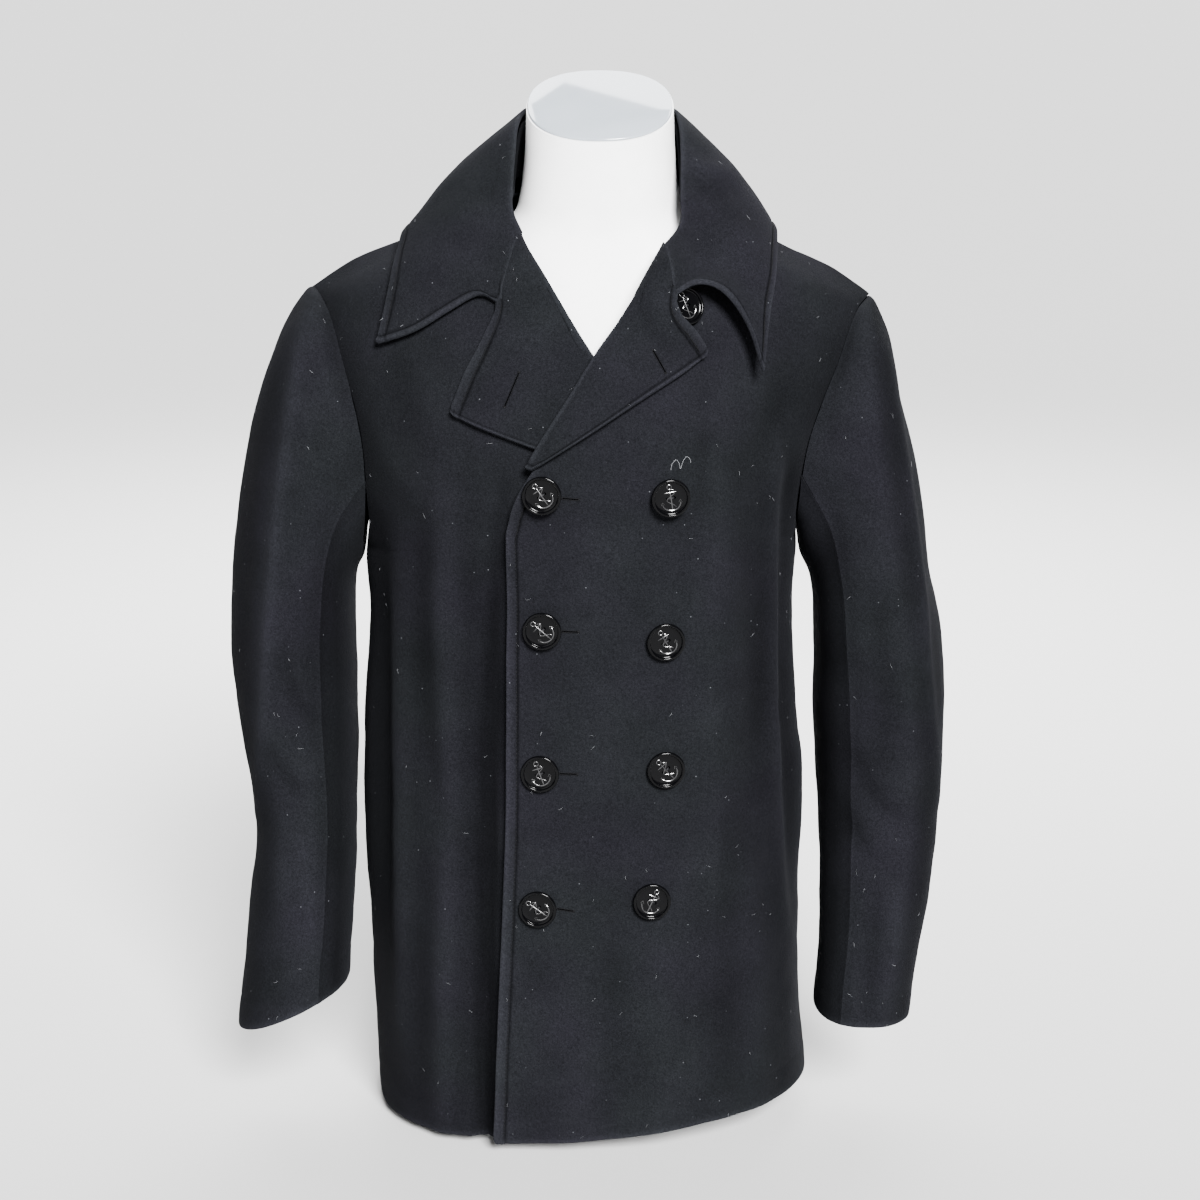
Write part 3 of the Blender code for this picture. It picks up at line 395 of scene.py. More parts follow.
def on_front(side, x, level, above=0.0):
    """A point over a front, above the inside of its cloth."""
    return on_body(x, level, FRONT, front_lift(side, x, level) + above)


def panel_levels():
    return list(LOWER_LEVELS) + [row.level for row in ARMHOLE]


def side_turn(level, column):
    """Where a panel ends: the side seam below the armhole, its edge above."""
    return read(ARMHOLE, column, level) if level > ARMHOLE[0].level else 90.0


def pull_in(grid, seam=SEAM / 2):
    """Draw the outermost points of a grid in, half a seam's width each."""
    for row in grid:
        row[0] = row[0] + (row[1] - row[0]).normalized() * seam
        row[-1] = row[-1] + (row[-2] - row[-1]).normalized() * seam
    for i, other in ((0, 1), (-1, -2)):
        grid[i] = [p + (q - p).normalized() * seam for p, q in zip(grid[i], grid[other])]
    return grid


def front_grid(side, columns):
    """Rows from hem to shoulder, columns from the front edge to the side seam."""
    sign = 1 if side == "left" else -1
    grid = []
    for level in panel_levels():
        setback = ROLL_SETBACK * ease(1 + (level - BREAK_LEVEL) / SETBACK_RUN)
        at_neck = ease((level - NECK_START) / SETBACK_RUN) * ease((1 - level) / SETBACK_RUN)
        setback += NECK_SETBACK * at_neck
        edge_x = read(FRONT_EDGE, side, level) + sign * setback
        start = turn_at(edge_x, level)
        end = sign * side_turn(level, "front")
        row = []
        for i in range(columns + 1):
            turn = start + (end - start) * i / columns
            x = body_point(turn, level, FRONT).x
            lift = front_lift(side, x, level)
            row.append(body_point(turn, level, FRONT) + body_normal(turn, level, FRONT) * lift)
        grid.append(row)
    return pull_in(grid)


def back_grid(columns):
    grid = []
    for level in panel_levels():
        end = side_turn(level, "back")
        turns = [end * (2 * i / columns - 1) for i in range(columns + 1)]
        grid.append([body_point(turn, level, BACK) for turn in turns])
    return pull_in(grid)


# --------------------------------------------------------- the lapels and collar
def roll_point(side, share):
    """x and level on the roll line, from the break (0) to the gorge seam (1)."""
    level = BREAK_LEVEL + (ROLL_TOP[side] - BREAK_LEVEL) * share
    return read(FRONT_EDGE, side, level), level


def button_room(side, x, level):
    """Extra height where the left lapel lies on the button under the collar."""
    if side == "right":
        return 0.0
    button = BUTTONS[-1]
    height = hem_height(x) + level * (shoulder_height(x) - hem_height(x))
    away = math.hypot(x - button.x, height - button.height) - BUTTON_RADIUS
    return BUTTON_ROOM * (1 - ease((away - BUTTON_MARGIN) / BUTTON_SLOPE))


def lapel_above(side, x, level, share):
    """How far a lapel lies above the inside of its front, share of its width out."""
    swell = LAPEL_SWELL * math.sin(math.pi * share)
    return CLOTH + 3 * LAYER_GAP + swell + button_room(side, x, level)


def lapel_edge(side, up):
    """x and level on a lapel's free edge at a share of the roll's length."""
    table = LAPEL_LEFT if side == "left" else LAPEL_RIGHT

    def free_edge(x, level):
        return on_front(side, x, level, lapel_above(side, x, level, 1.0))

    return seat(free_edge, straight(table, "x", up), straight(table, "height", up))


def lapel_point(side, up, out):
    """A point on a lapel: up its roll line from the break, and out from it."""
    outer_x, outer_level = lapel_edge(side, up)
    roll_x, roll_level = roll_point(side, up)
    x = roll_x + (outer_x - roll_x) * out
    level = roll_level + (outer_level - roll_level) * out
    return on_front(side, x, level, lapel_above(side, x, level, out))


def leaf_end(side):
    """The collar leaf's front edge: down the gorge seam, then out to the point."""
    sign = 1 if side == "left" else -1
    table = LEAF_END_LEFT if side == "left" else LEAF_END_RIGHT
    gap = GORGE_SEAM[side]
    seam = Vector((sign * gap, 0, gap))
    points = []
    for i in range(GORGE_COLUMNS + 1):
        points.append(lapel_point(side, 1.0, i / GORGE_COLUMNS) + seam)
    free = len(LEAF_SHARES) - 1 - GORGE_COLUMNS
    for i in range(1, free + 1):
        share = i / free
        lift = straight(table, "lift", share)

        def place(x, level):
            return on_front(side, x, level, lapel_above(side, x, level, 1.0) + lift)

        points.append(place(*seat(place, straight(table, "x", share),
                                  straight(table, "height", share))))
    return points


def leaf_row(row):
    """From the fold down to the outer edge, swelling out a little between."""
    def place(x, level):
        return on_body(x, level, row.edge_face, CLOTH + row.lift)

    fold = Vector((row.fold_x, row.fold_y, row.fold_z))
    edge = place(*seat(place, row.edge_x, row.edge_z))
    out = (edge - fold).cross(Vector((0, 0, 1))).cross(edge - fold).normalized()
    return [fold.lerp(edge, t) + out * row.swell * math.sin(math.pi * t) for t in LEAF_SHARES]


def leaf_grid():
    """Rows round the neck from the wearer's right to left."""
    grid = [leaf_end("right")]
    grid += [leaf_row(row) for row in COLLAR_RIGHT]
    grid.append(leaf_row(COLLAR_BACK))
    grid += [leaf_row(row) for row in reversed(COLLAR_LEFT)]
    grid.append(leaf_end("left"))
    return pull_in(grid)


def stand_grid():
    """The standing part of the collar, inside the leaf, down to the neckline."""
    left_half = [StandRow(-row.x, row.y, row.z) for row in reversed(STAND_RIGHT)]
    feet = list(STAND_RIGHT) + [STAND_BACK] + left_half
    folds = list(COLLAR_RIGHT) + [COLLAR_BACK] + list(reversed(COLLAR_LEFT))
    grid = []
    for foot, fold in list(zip(feet, folds))[1:-1]:
        low = Vector(foot)
        high = Vector((fold.fold_x, fold.fold_y, fold.fold_z - STAND_DROP))
        grid.append([high.lerp(low, t) for t in (0.0, 0.5, 1.0)])
    return grid


# ----------------------------------------------------------------- the sleeves
def armhole_loop(side):
    """Points round the armhole: shoulder, down the front, underarm, up the back."""
    sign = 1 if side == "left" else -1
    loop = []
    for rows, face, column in ((reversed(ARMHOLE), FRONT, "front"), (ARMHOLE[1:-1], BACK, "back")):
        for row in rows:
            turn = sign * getattr(row, column)
            loop.append(body_point(turn, row.level, face))
    return loop


def sleeve_ring(row, sign, count):
    """One section of the hanging sleeve, started at its outer side."""
    ring = []
    for i in range(count):
        angle = 2 * math.pi * i / count
        c, s = math.cos(angle), math.sin(angle)
        across = 0.5 + 0.5 * math.copysign(abs(c) ** (2 / SLEEVE_CORNER), c)
        along = math.copysign(abs(s) ** (2 / SLEEVE_CORNER), s)
        x = row.in_x + CLOTH + (row.out_x - row.in_x - 2 * CLOTH) * across
        z = row.in_z + (row.out_z - row.in_z) * across
        ring.append(Vector((sign * x, row.mid_y - (row.half_depth - CLOTH) * along, z)))
    return ring


def sleeve_rings(side):
    sign = 1 if side == "left" else -1
    loop = armhole_loop(side)
    rows = SLEEVE_LEFT if side == "left" else SLEEVE_RIGHT
    rings = [sleeve_ring(row, sign, len(loop)) for row in rows]
    blended = []
    for depth, ring in enumerate(rings[:3]):
        blended.append([p.lerp(q, HEAD_BLEND[depth]) for p, q in zip(ring, loop)])
    rings[:3] = blended
    first = []
    bottom = len(ARMHOLE) - 1
    for i, (p, q) in enumerate(zip(loop, rings[0])):
        near_bottom = max(0.0, 1 - abs(i - bottom) / UNDERARM_ROWS)
        gap = SLEEVE_GAP if i == 0 else ARMHOLE_FOLD
        rise = Vector((sign * UNDERARM_OUT, 0, UNDERARM_RISE)) * near_bottom
        first.append(p + (q - p).normalized() * gap + rise)
    return [first] + rings


def sleeve_grid(side, piece):
    """The top sleeve or the under sleeve, cut from the sleeve's rings."""
    rings = sleeve_rings(side)
    count = len(rings[0])
    first, last = FRONT_SEAM, count + BACK_SEAM
    span = range(first, last + 1) if piece == "under" else range(last - count, first + 1)
    grid = [[ring[i % count].copy() for i in span] for ring in rings]
    for row in grid:
        row[0] = row[0] + (row[1] - row[0]).normalized() * SEAM / 2
        row[-1] = row[-1] + (row[-2] - row[-1]).normalized() * SEAM / 2
    return grid


def place_button(row):
    """Where a button stands: on the left front, facing the way the cloth faces."""
    level = level_at(row.x, row.height)
    under = on_front("left", row.x, level, CLOTH)
    reach = FACING_REACH * BUTTON_RADIUS
    across = on_front("left", row.x + reach, level, 0) - on_front("left", row.x - reach, level, 0)
    step = reach / (shoulder_height(row.x) - hem_height(row.x))
    up = on_front("left", row.x, level + step, 0) - on_front("left", row.x, level - step, 0)
    facing = across.cross(up).normalized()
    turned = facing.to_track_quat("Z", "Y").to_matrix().to_4x4()
    spin = Matrix.Rotation(math.radians(row.spin), 4, "Z")
    return Matrix.Translation(under + facing * BUTTON_LIFT) @ turned @ spin


# ------------------------------------------------------------- fine cloth grids
STITCH_INSET = 0.0105     # topstitching this far inside a turned edge
LEAF_INSET = 0.0095
HEM_INSET = 0.025
RIM_STEPS = (0.0, 0.0003, 0.0007, 0.0012, 0.0019, 0.0027, 0.0034, 0.0041, 0.0050, 0.0062, 0.0075,
             0.0086, 0.0095, 0.0105, 0.0115, 0.0128, 0.0150, 0.0185, 0.0230, 0.0250, 0.0270, 0.0300)
SEAM_STEPS = (0.0, 0.0002, 0.0005, 0.0010, 0.0018, 0.0030, 0.0050, 0.0080)
CLOTH_STEP = 0.0055       # spacing of the fine grid away from the edges
COLLAR_SPACING, LAPEL_SPACING = 0.0040, 0.0035
SPLITS = 6                # fine lines to each line of a coarse grid
TURNED, SEWN = 1.0, 0.16  # share of the half thickness that a border is rounded by

Groove = namedtuple("Groove", "border inset depth width puff")
Fold = namedtuple("Fold", "x0 z0 x1 z1 x2 z2 width height")


def refine(grid, per):
    """More rows between the rows of an array, on a smooth curve through them."""
    before = np.concatenate([2 * grid[:1] - grid[1:2], grid[:-1]])
    after = np.concatenate([grid[1:], 2 * grid[-1:] - grid[-2:-1]])
    rows = []
    for i in range(len(grid) - 1):
        p, q = grid[i], grid[i + 1]
        start = (after[i] - before[i]) / 2
        end = (after[i + 1] - before[i + 1]) / 2
        for k in range(per):
            t = k / per
            rows.append(p * (1 + 2 * t) * (1 - t) ** 2 + start * t * (1 - t) ** 2
                        + q * t * t * (3 - 2 * t) + end * t * t * (t - 1))
    rows.append(grid[-1])
    return np.array(rows)


def arc(line):
    """The length along a line of points up to each of them."""
    spans = np.linalg.norm(np.diff(line, axis=0), axis=1)
    return np.concatenate([[0.0], np.cumsum(spans)])


def sample(line, at, places):
    """Every column of a line read at places along it, where at is its arc."""
    return np.stack([np.interp(places, at, line[:, k]) for k in range(line.shape[1])], axis=-1)


def at_steps(lines, start, end, step):
    """Lines of points resampled by length, with set steps in from both ends."""
    spans = np.linalg.norm(np.diff(lines, axis=1), axis=2)
    lengths = spans.sum(axis=1)
    reach = start[-1] + end[-1]
    count = max(2, int(round((np.percentile(lengths, 80) - reach) / step)))
    result = []
    for line, span, length in zip(lines, spans, lengths):
        along = np.concatenate([[0.0], np.cumsum(span)])
        shrink = min(1.0, 0.9 * length / reach)
        first = np.array(start) * shrink
        last = length - np.array(end[::-1]) * shrink
        middle = np.linspace(first[-1], last[0], count + 1)[1:-1]
        at = np.concatenate([first, middle, last])
        result.append(sample(line, along, at))
    return np.array(result)


def fine_grid(grid, left, right, low, high, per=8, step=CLOTH_STEP):
    """A coarse grid made fine: steps given for each of its four borders."""
    points = np.array([[tuple(point) for point in row] for row in grid])
    points = refine(points, per)
    points = refine(points.transpose(1, 0, 2), per).transpose(1, 0, 2)
    points = at_steps(points, left, right, step)
    return at_steps(points.transpose(1, 0, 2), low, high, step).transpose(1, 0, 2)


def grid_normals(points, outward):
    across = np.gradient(points, axis=1)
    up = np.gradient(points, axis=0)
    normals = np.cross(across, up)
    normals /= np.maximum(np.linalg.norm(normals, axis=2, keepdims=True), 1e-12)
    facing = np.sum(normals * np.array([[tuple(outward(Vector(p))) for p in row] for row in points]))
    return normals if facing > 0 else -normals


def edge_distances(points):
    """How far each point lies from each of the grid's four borders, along the grid."""
    across = np.linalg.norm(np.diff(points, axis=1), axis=2)
    up = np.linalg.norm(np.diff(points, axis=0), axis=2)
    left = np.concatenate([np.zeros((len(points), 1)), np.cumsum(across, axis=1)], axis=1)
    low = np.concatenate([np.zeros((1, points.shape[1])), np.cumsum(up, axis=0)], axis=0)
    return {"left": left, "right": left[:, -1:] - left, "low": low, "high": low[-1:] - low}


def round_corner(points, row, column, radius):
    """One corner of a grid (rows 0 or -1, columns 0 or -1) rounded off."""
    edges = edge_distances(points)
    a = np.clip(1 - edges["left" if column == 0 else "right"] / radius, 0, 1)
    b = np.clip(1 - edges["low" if row == 0 else "high"] / radius, 0, 1)
    corner = points[row, column]
    side = int(np.argmin(np.abs(edges["left" if column == 0 else "right"][row] - radius)))
    rise = int(np.argmin(np.abs(edges["low" if row == 0 else "high"][:, column] - radius)))
    across = points[row, side] - corner
    up = points[rise, column] - corner
    across, up = across / np.linalg.norm(across), up / np.linalg.norm(up)
    shift_a = radius * (a - a * np.sqrt(1 - b * b / 2))
    shift_b = radius * (b - b * np.sqrt(1 - a * a / 2))
    return points + shift_a[..., None] * across + shift_b[..., None] * up


def line_distance(points, line):
    """Distance from each point of an array (any shape, last axis 2 or 3) to a polyline."""
    flat = points.reshape(-1, points.shape[-1])
    best = np.full(len(flat), np.inf)
    share = np.zeros(len(flat))
    lengths = np.linalg.norm(np.diff(line, axis=0), axis=1)
    total = lengths.sum()
    done = 0.0
    for p, q, length in zip(line, line[1:], lengths):
        if length < 1e-9:
            continue
        t = np.clip((flat - p) @ (q - p) / length ** 2, 0, 1)
        away = np.linalg.norm(flat - p - t[:, None] * (q - p), axis=1)
        nearer = away < best
        best[nearer] = away[nearer]
        share[nearer] = (done + t[nearer] * length) / total
        done += length
    shape = points.shape[:-1]
    return best.reshape(shape), share.reshape(shape)


def fold_lift(points, normals, folds, face):
    """Height of the listed creases at each point, seen from the front or back."""
    lift = np.zeros(points.shape[:2])
    flat = points[:, :, (0, 2)]
    facing = np.clip(normals[:, :, 1] * face * 3 + 0.35, 0, 1)
    for fold in folds:
        t = np.linspace(0, 1, 20)[:, None]
        start, middle, end = (np.array(p) for p in (
            (fold.x0, fold.z0), (fold.x1, fold.z1), (fold.x2, fold.z2)))
        control = 2 * middle - (start + end) / 2
        line = start * (1 - t) ** 2 + 2 * control * t * (1 - t) + end * t * t
        away, share = line_distance(flat, line)
        fade = np.sin(np.pi * np.clip(0.04 + 0.92 * share, 0, 1)) ** 0.7
        lift += fold.height * np.exp(-(away / fold.width) ** 2) * fade
    return lift * facing


def wobble(points, size, height, seed):
    """Slow unevenness of the cloth."""
    offset = Vector((seed * 7.3, seed * 3.1, seed * 1.7))
    return np.array([[height * noise.noise(Vector(p) / size + offset) for p in row]
                     for row in points])


def groove_painted_shade(edges, grooves):
    """How strongly painted shade along the sunk stitch lines darkens each point."""
    return sum(np.exp(-((edges[g.border] - g.inset) / (g.width * 0.8)) ** 2) for g in grooves)


def rim_lift(edges, grooves):
    """A sunk stitch line along each listed border, and the puffed rim outside it."""
    lift = 0.0
    for groove in grooves:
        away = edges[groove.border]
        lift = lift - groove.depth * np.exp(-((away - groove.inset) / groove.width) ** 2)
        lift = lift + groove.puff * np.sin(np.pi * np.clip(away / groove.inset, 0, 1))
    return lift


PIECES = {}
EDGE_WEAR = 0.0042        # turned edges are rubbed pale this far in
CREASE_WEAR_AND_SHADE = 0.0100       # and so, more faintly, are the tops of creases; their hollows and sunk grooves get painted shade
SIDEWAYS_PAINTED_SHADE = 0.9             # painted shade: how much cloth that faces sideways is darkened
SIDEWAYS, SIDEWAYS_SPAN = 0.40, 0.45   # from this much sideways, growing over this much more
THIN_TURNED, THIN_SEWN = 0.04, 0.6     # share of the thickness left at a border
BORDERS = ("left", "right", "low", "high")


def cloth_shell(name, points, outward, thickness, offset, lift, ends,
                shade=0.0):
    """A closed thin shell with rounded borders round a grid of points; shade is painted shade that
    darkens it.
    """
    normals = grid_normals(points, outward)
    middle = points + normals * (offset * thickness / 2 + np.zeros(points.shape[:2]) + lift)[..., None]
    edges = edge_distances(points)
    half = thickness / 2
    for border, end in zip(BORDERS, ends):
        inside = np.clip(edges[border] / (end * thickness / 2), 0, 1)
        thin = THIN_TURNED if end == TURNED else THIN_SEWN
        half = np.minimum(half, thickness / 2 * (thin + (1 - thin) * np.sqrt(1 - (1 - inside) ** 2)))
    outer = middle + normals * half[..., None]
    inner = middle - normals * half[..., None]
    rows, columns = points.shape[:2]
    index = np.arange(rows * columns).reshape(rows, columns)
    a, b, c, d = index[:-1, :-1], index[:-1, 1:], index[1:, 1:], index[1:, :-1]
    quads = np.stack([a, b, c, d], axis=-1).reshape(-1, 4)
    mid_r, mid_c = rows // 2, columns // 2
    cross = np.cross(outer[mid_r, mid_c + 1] - outer[mid_r, mid_c],
                     outer[mid_r + 1, mid_c] - outer[mid_r, mid_c])
    flip = cross @ normals[mid_r, mid_c] < 0
    if flip:
        quads = quads[:, ::-1]
    under = quads[:, ::-1] + rows * columns
    ring = list(index[0, :]) + list(index[1:, -1]) + list(index[-1, -2::-1]) + list(index[-2:0:-1, 0])
    rim = []
    for p, q in zip(ring, ring[1:] + ring[:1]):
        face = (q, p, p + rows * columns, q + rows * columns)
        rim.append(face[::-1] if flip else face)
    mesh = bpy.data.meshes.new(name)
    vertices = np.concatenate([outer.reshape(-1, 3), inner.reshape(-1, 3)])
    mesh.from_pydata(vertices.tolist(), [], quads.tolist() + under.tolist() + rim)
    mesh.validate()
    mesh.shade_smooth()
    # each piece's attribute: rubbed turned edges and crease tops, and painted shade
    wear_and_shade = np.zeros(points.shape[:2])
    for border, end in zip(BORDERS, ends):
        if end == TURNED:
            wear_and_shade = np.maximum(wear_and_shade, np.exp(-(edges[border] / EDGE_WEAR) ** 2))
    # raised cloth is rubbed paler; hollows of creases and sunk stitch lines are darkened with painted
    # shade
    wear_and_shade = wear_and_shade + np.clip((lift + np.zeros_like(wear_and_shade)) / CREASE_WEAR_AND_SHADE, -0.9, 0.5)
    # painted shade: single cloth that faces sideways is darkened
    if thickness == CLOTH:
        wear_and_shade = wear_and_shade - SIDEWAYS_PAINTED_SHADE * np.clip((np.abs(normals[:, :, 0]) - SIDEWAYS) / SIDEWAYS_SPAN, 0, 1)
    # painted shade along the sunk stitch lines
    wear_and_shade = np.clip(wear_and_shade - shade, -1, 1)
    tone_shift = mesh.attributes.new("wear_and_shade", "FLOAT", "POINT")
    tone_shift.data.foreach_set("value", np.concatenate([wear_and_shade.ravel(), wear_and_shade.ravel()]).astype(np.float32))
    piece = finish_piece(name, mesh, "wool")
    tree = BVHTree.FromPolygons([Vector(v) for v in outer.reshape(-1, 3)], quads.tolist())
    PIECES[name] = (piece, outer, normals, tree)
    area = sum(f.area for f in mesh.polygons) / 2
    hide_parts(name)
    return piece


def finish_piece(name, mesh, kind):
    """An object that rides on the one body."""
    shown = "shown_" if kind == "button" else "cloth_"
    piece = bpy.data.objects.new(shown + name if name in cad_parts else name, mesh)
    mesh.materials.append(MATERIALS[kind])
    bpy.context.scene.collection.objects.link(piece)
    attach(piece, "root")
    return piece


# -------------------------------------------------------------------- materials
def new_material(name):
    material = bpy.data.materials.new(name)
    material.use_nodes = True
    nodes = material.node_tree.nodes
    return material, nodes, material.node_tree.links, nodes["Principled BSDF"]


def add_noise(nodes, links, place, scale, detail, roughness=0.6):
    node = nodes.new("ShaderNodeTexNoise")
    node.inputs["Scale"].default_value = scale
    node.inputs["Detail"].default_value = detail
    node.inputs["Roughness"].default_value = roughness
    links.new(place, node.inputs["Vector"])
    return node.outputs["Fac"]


def spread_values(nodes, links, value, low, high, to_low, to_high):
    node = nodes.new("ShaderNodeMapRange")
    for key, number in zip(("From Min", "From Max", "To Min", "To Max"),
                           (low, high, to_low, to_high)):
        node.inputs[key].default_value = number
    links.new(value, node.inputs["Value"])
    return node.outputs["Result"]


def times(nodes, links, first, second, operation="MULTIPLY"):
    node = nodes.new("ShaderNodeMath")
    node.operation = operation
    for socket, value in zip(node.inputs, (first, second)):
        if isinstance(value, float):
            socket.default_value = value
        else:
            links.new(value, socket)
    return node.outputs[0]


def mix_colours(nodes, links, factor, first, second, blend="MIX"):
    """A colour mix; each input is a socket to link, or a value."""
    node = nodes.new("ShaderNodeMix")
    node.data_type = "RGBA"
    node.blend_type = blend
    for key, value in (("Factor", factor), ("A", first), ("B", second)):
        if isinstance(value, (float, tuple)):
            node.inputs[key].default_value = value
        else:
            links.new(value, node.inputs[key])
    return node.outputs["Result"]


WOOL_COLOUR = (0.0046, 0.0045, 0.0059)
WOOL_CAST = (0.0043, 0.0047, 0.0054)   # what it drifts to, in broad patches
DUST = (0.10, 0.105, 0.115)
WOOL_SHEEN = 0.012
NAP, TUFT, PATCH, CAST = (780.0, 4.0, 0.75), (400.0, 4.0, 0.65), (24.0, 3.0, 0.6), (9.0, 2.0, 0.5)


def wool_material():
    """Brushed melton: felted nap, slow mottling, scattered pale fibres, with rubbed wear and painted
    shade read from each piece's attribute.
    """
    material, nodes, links, shader = new_material("wool_melton")
    place = nodes.new("ShaderNodeTexCoord").outputs["Object"]
    nap = add_noise(nodes, links, place, *NAP)
    tuft = add_noise(nodes, links, place, *TUFT)
    patch = add_noise(nodes, links, place, *PATCH)
    cast = add_noise(nodes, links, place, *CAST)
    grain = spread_values(nodes, links, nap, 0.3, 0.7, 0.50, 1.50)
    clump = spread_values(nodes, links, tuft, 0.3, 0.7, 0.80, 1.20)
    tone_shift = spread_values(nodes, links, patch, 0.3, 0.7, 0.88, 1.12)
    value = times(nodes, links, times(nodes, links, grain, clump), tone_shift)
    # rubbed wear and painted shade from each piece's attribute scale the colour
    wear_and_shade_input = nodes.new("ShaderNodeAttribute")
    wear_and_shade_input.attribute_name = "wear_and_shade"
    wear_and_shade_factor = spread_values(nodes, links, wear_and_shade_input.outputs["Fac"], -1.0, 1.0, 0.30, 1.70)
    value = times(nodes, links, value, wear_and_shade_factor)
    tint = mix_colours(nodes, links, spread_values(nodes, links, cast, 0.35, 0.65, 0.0, 1.0),
                       (*WOOL_COLOUR, 1), (*WOOL_CAST, 1))
    shade = mix_colours(nodes, links, 1.0, tint, value, "MULTIPLY")
    specks = nodes.new("ShaderNodeTexVoronoi")
    specks.inputs["Scale"].default_value = 170.0
    links.new(place, specks.inputs["Vector"])
    near = spread_values(nodes, links, specks.outputs["Distance"], 0.05, 0.11, 1.0, 0.0)
    pick = nodes.new("ShaderNodeSeparateColor")
    links.new(specks.outputs["Color"], pick.inputs["Color"])
    rare = spread_values(nodes, links, pick.outputs["Red"], 0.90, 0.97, 0.0, 0.55)
    dusted = mix_colours(nodes, links, times(nodes, links, near, rare), shade, (*DUST, 1))
    links.new(dusted, shader.inputs["Base Color"])
    shader.inputs["Roughness"].default_value = 0.95
    shader.inputs["Specular IOR Level"].default_value = 0.015
    shader.inputs["Sheen Weight"].default_value = WOOL_SHEEN
    shader.inputs["Sheen Roughness"].default_value = 0.55
    shader.inputs["Sheen Tint"].default_value = (0.62, 0.64, 0.74, 1)
    height = times(nodes, links, times(nodes, links, nap, 0.6), times(nodes, links, tuft, 0.7), "ADD")
    bump = nodes.new("ShaderNodeBump")
    bump.inputs["Strength"].default_value = 0.7
    bump.inputs["Distance"].default_value = 0.0012
    links.new(height, bump.inputs["Height"])
    links.new(bump.outputs["Normal"], shader.inputs["Normal"])
    return material


def plain_material(name, colour, roughness, variation_scale, bump_distance, coat=0.0,
                   specular=0.5):
    """A smooth surface with slight unevenness in colour, gloss and height."""
    material, nodes, links, shader = new_material(name)
    place = nodes.new("ShaderNodeTexCoord").outputs["Object"]
    uneven = add_noise(nodes, links, place, variation_scale, 4.0)
    tone = mix_colours(nodes, links, uneven, (*[c * 0.93 for c in colour], 1),
                       (*[min(1.0, c * 1.05) for c in colour], 1))
    links.new(tone, shader.inputs["Base Color"])
    links.new(spread_values(nodes, links, uneven, 0.3, 0.7, roughness * 0.85, roughness * 1.15),
              shader.inputs["Roughness"])
    shader.inputs["Coat Weight"].default_value = coat
    shader.inputs["Specular IOR Level"].default_value = specular
    shader.inputs["Coat Roughness"].default_value = 0.06
    bump = nodes.new("ShaderNodeBump")
    bump.inputs["Strength"].default_value = 0.3
    bump.inputs["Distance"].default_value = bump_distance
    links.new(uneven, bump.inputs["Height"])
    links.new(bump.outputs["Normal"], shader.inputs["Normal"])
    return material


MATERIALS = {
    "wool": wool_material(),
    "thread": plain_material("stitch_thread", (0.0026, 0.0026, 0.0032), 0.75, 2500.0, 0.0002,
                             specular=0.1),
    # painted shadow: a near-black sheet stands for the shade inside each buttonhole's slit
    "slit": plain_material("buttonhole_inside", (0.0004, 0.0004, 0.0005), 0.95, 900.0, 0.0002,
                           specular=0.0),
    "lint": plain_material("pale_lint", (0.16, 0.165, 0.175), 0.85, 3000.0, 0.0001),
    "button": plain_material("button_gloss", (0.0008, 0.0008, 0.0010), 0.12, 500.0, 0.00003,
                             specular=0.10),
    "relief": plain_material("button_relief", (0.0030, 0.0030, 0.0036), 0.20, 500.0, 0.00003,
                             specular=0.9),
    "button_thread": plain_material("button_thread", (0.004, 0.004, 0.005), 0.7, 2500.0, 0.0002,
                                    specular=0.2),
    "form": plain_material("form_white", (0.86, 0.86, 0.86), 0.5, 60.0, 0.0002),
    "cap": plain_material("cap_glass", (0.28, 0.31, 0.345), 0.12, 30.0, 0.0001, 0.6),
}



def built(name, bm, smooth=True):
    """The mesh that was built, its builder freed."""
    mesh = bpy.data.meshes.new(name)
    bm.to_mesh(mesh)
    bm.free()
    if smooth:
        mesh.shade_smooth()
    return mesh


# ---------------------------------------------------------------------- creases
FRONT_FOLDS_RIGHT = rows(
    Fold,
    (-0.08, 0.6, -0.097, 0.33, -0.106, -0.25, 0.009, -0.014),
    (-0.105, 0.64, -0.114, 0.345, -0.128, -0.08, 0.013, -0.005),
    (-0.127, 0.42, -0.134, 0.2, -0.144, -0.06, 0.013, 0.0046),
    (-0.136, 0.62, -0.136, 0.48, -0.142, 0.38, 0.014, 0.0026),
    (-0.145, 0.6, -0.15, 0.43, -0.135, 0.29, 0.009, -0.0048),
    (-0.169, 0.56, -0.172, 0.33, -0.174, 0.06, 0.01, 0.006),
    (-0.148, 0.27, -0.156, 0.15, -0.15, -0.02, 0.011, -0.0032),
    (-0.19, 0.56, -0.189, 0.34, -0.195, 0.1, 0.01, -0.006),
    (-0.175, 0.71, -0.16, 0.655, -0.13, 0.61, 0.013, -0.0024),
    (-0.19, 0.66, -0.17, 0.61, -0.148, 0.58, 0.011, 0.0018),
    (-0.072, 0.56, -0.076, 0.42, -0.08, 0.3, 0.014, -0.0016),
)
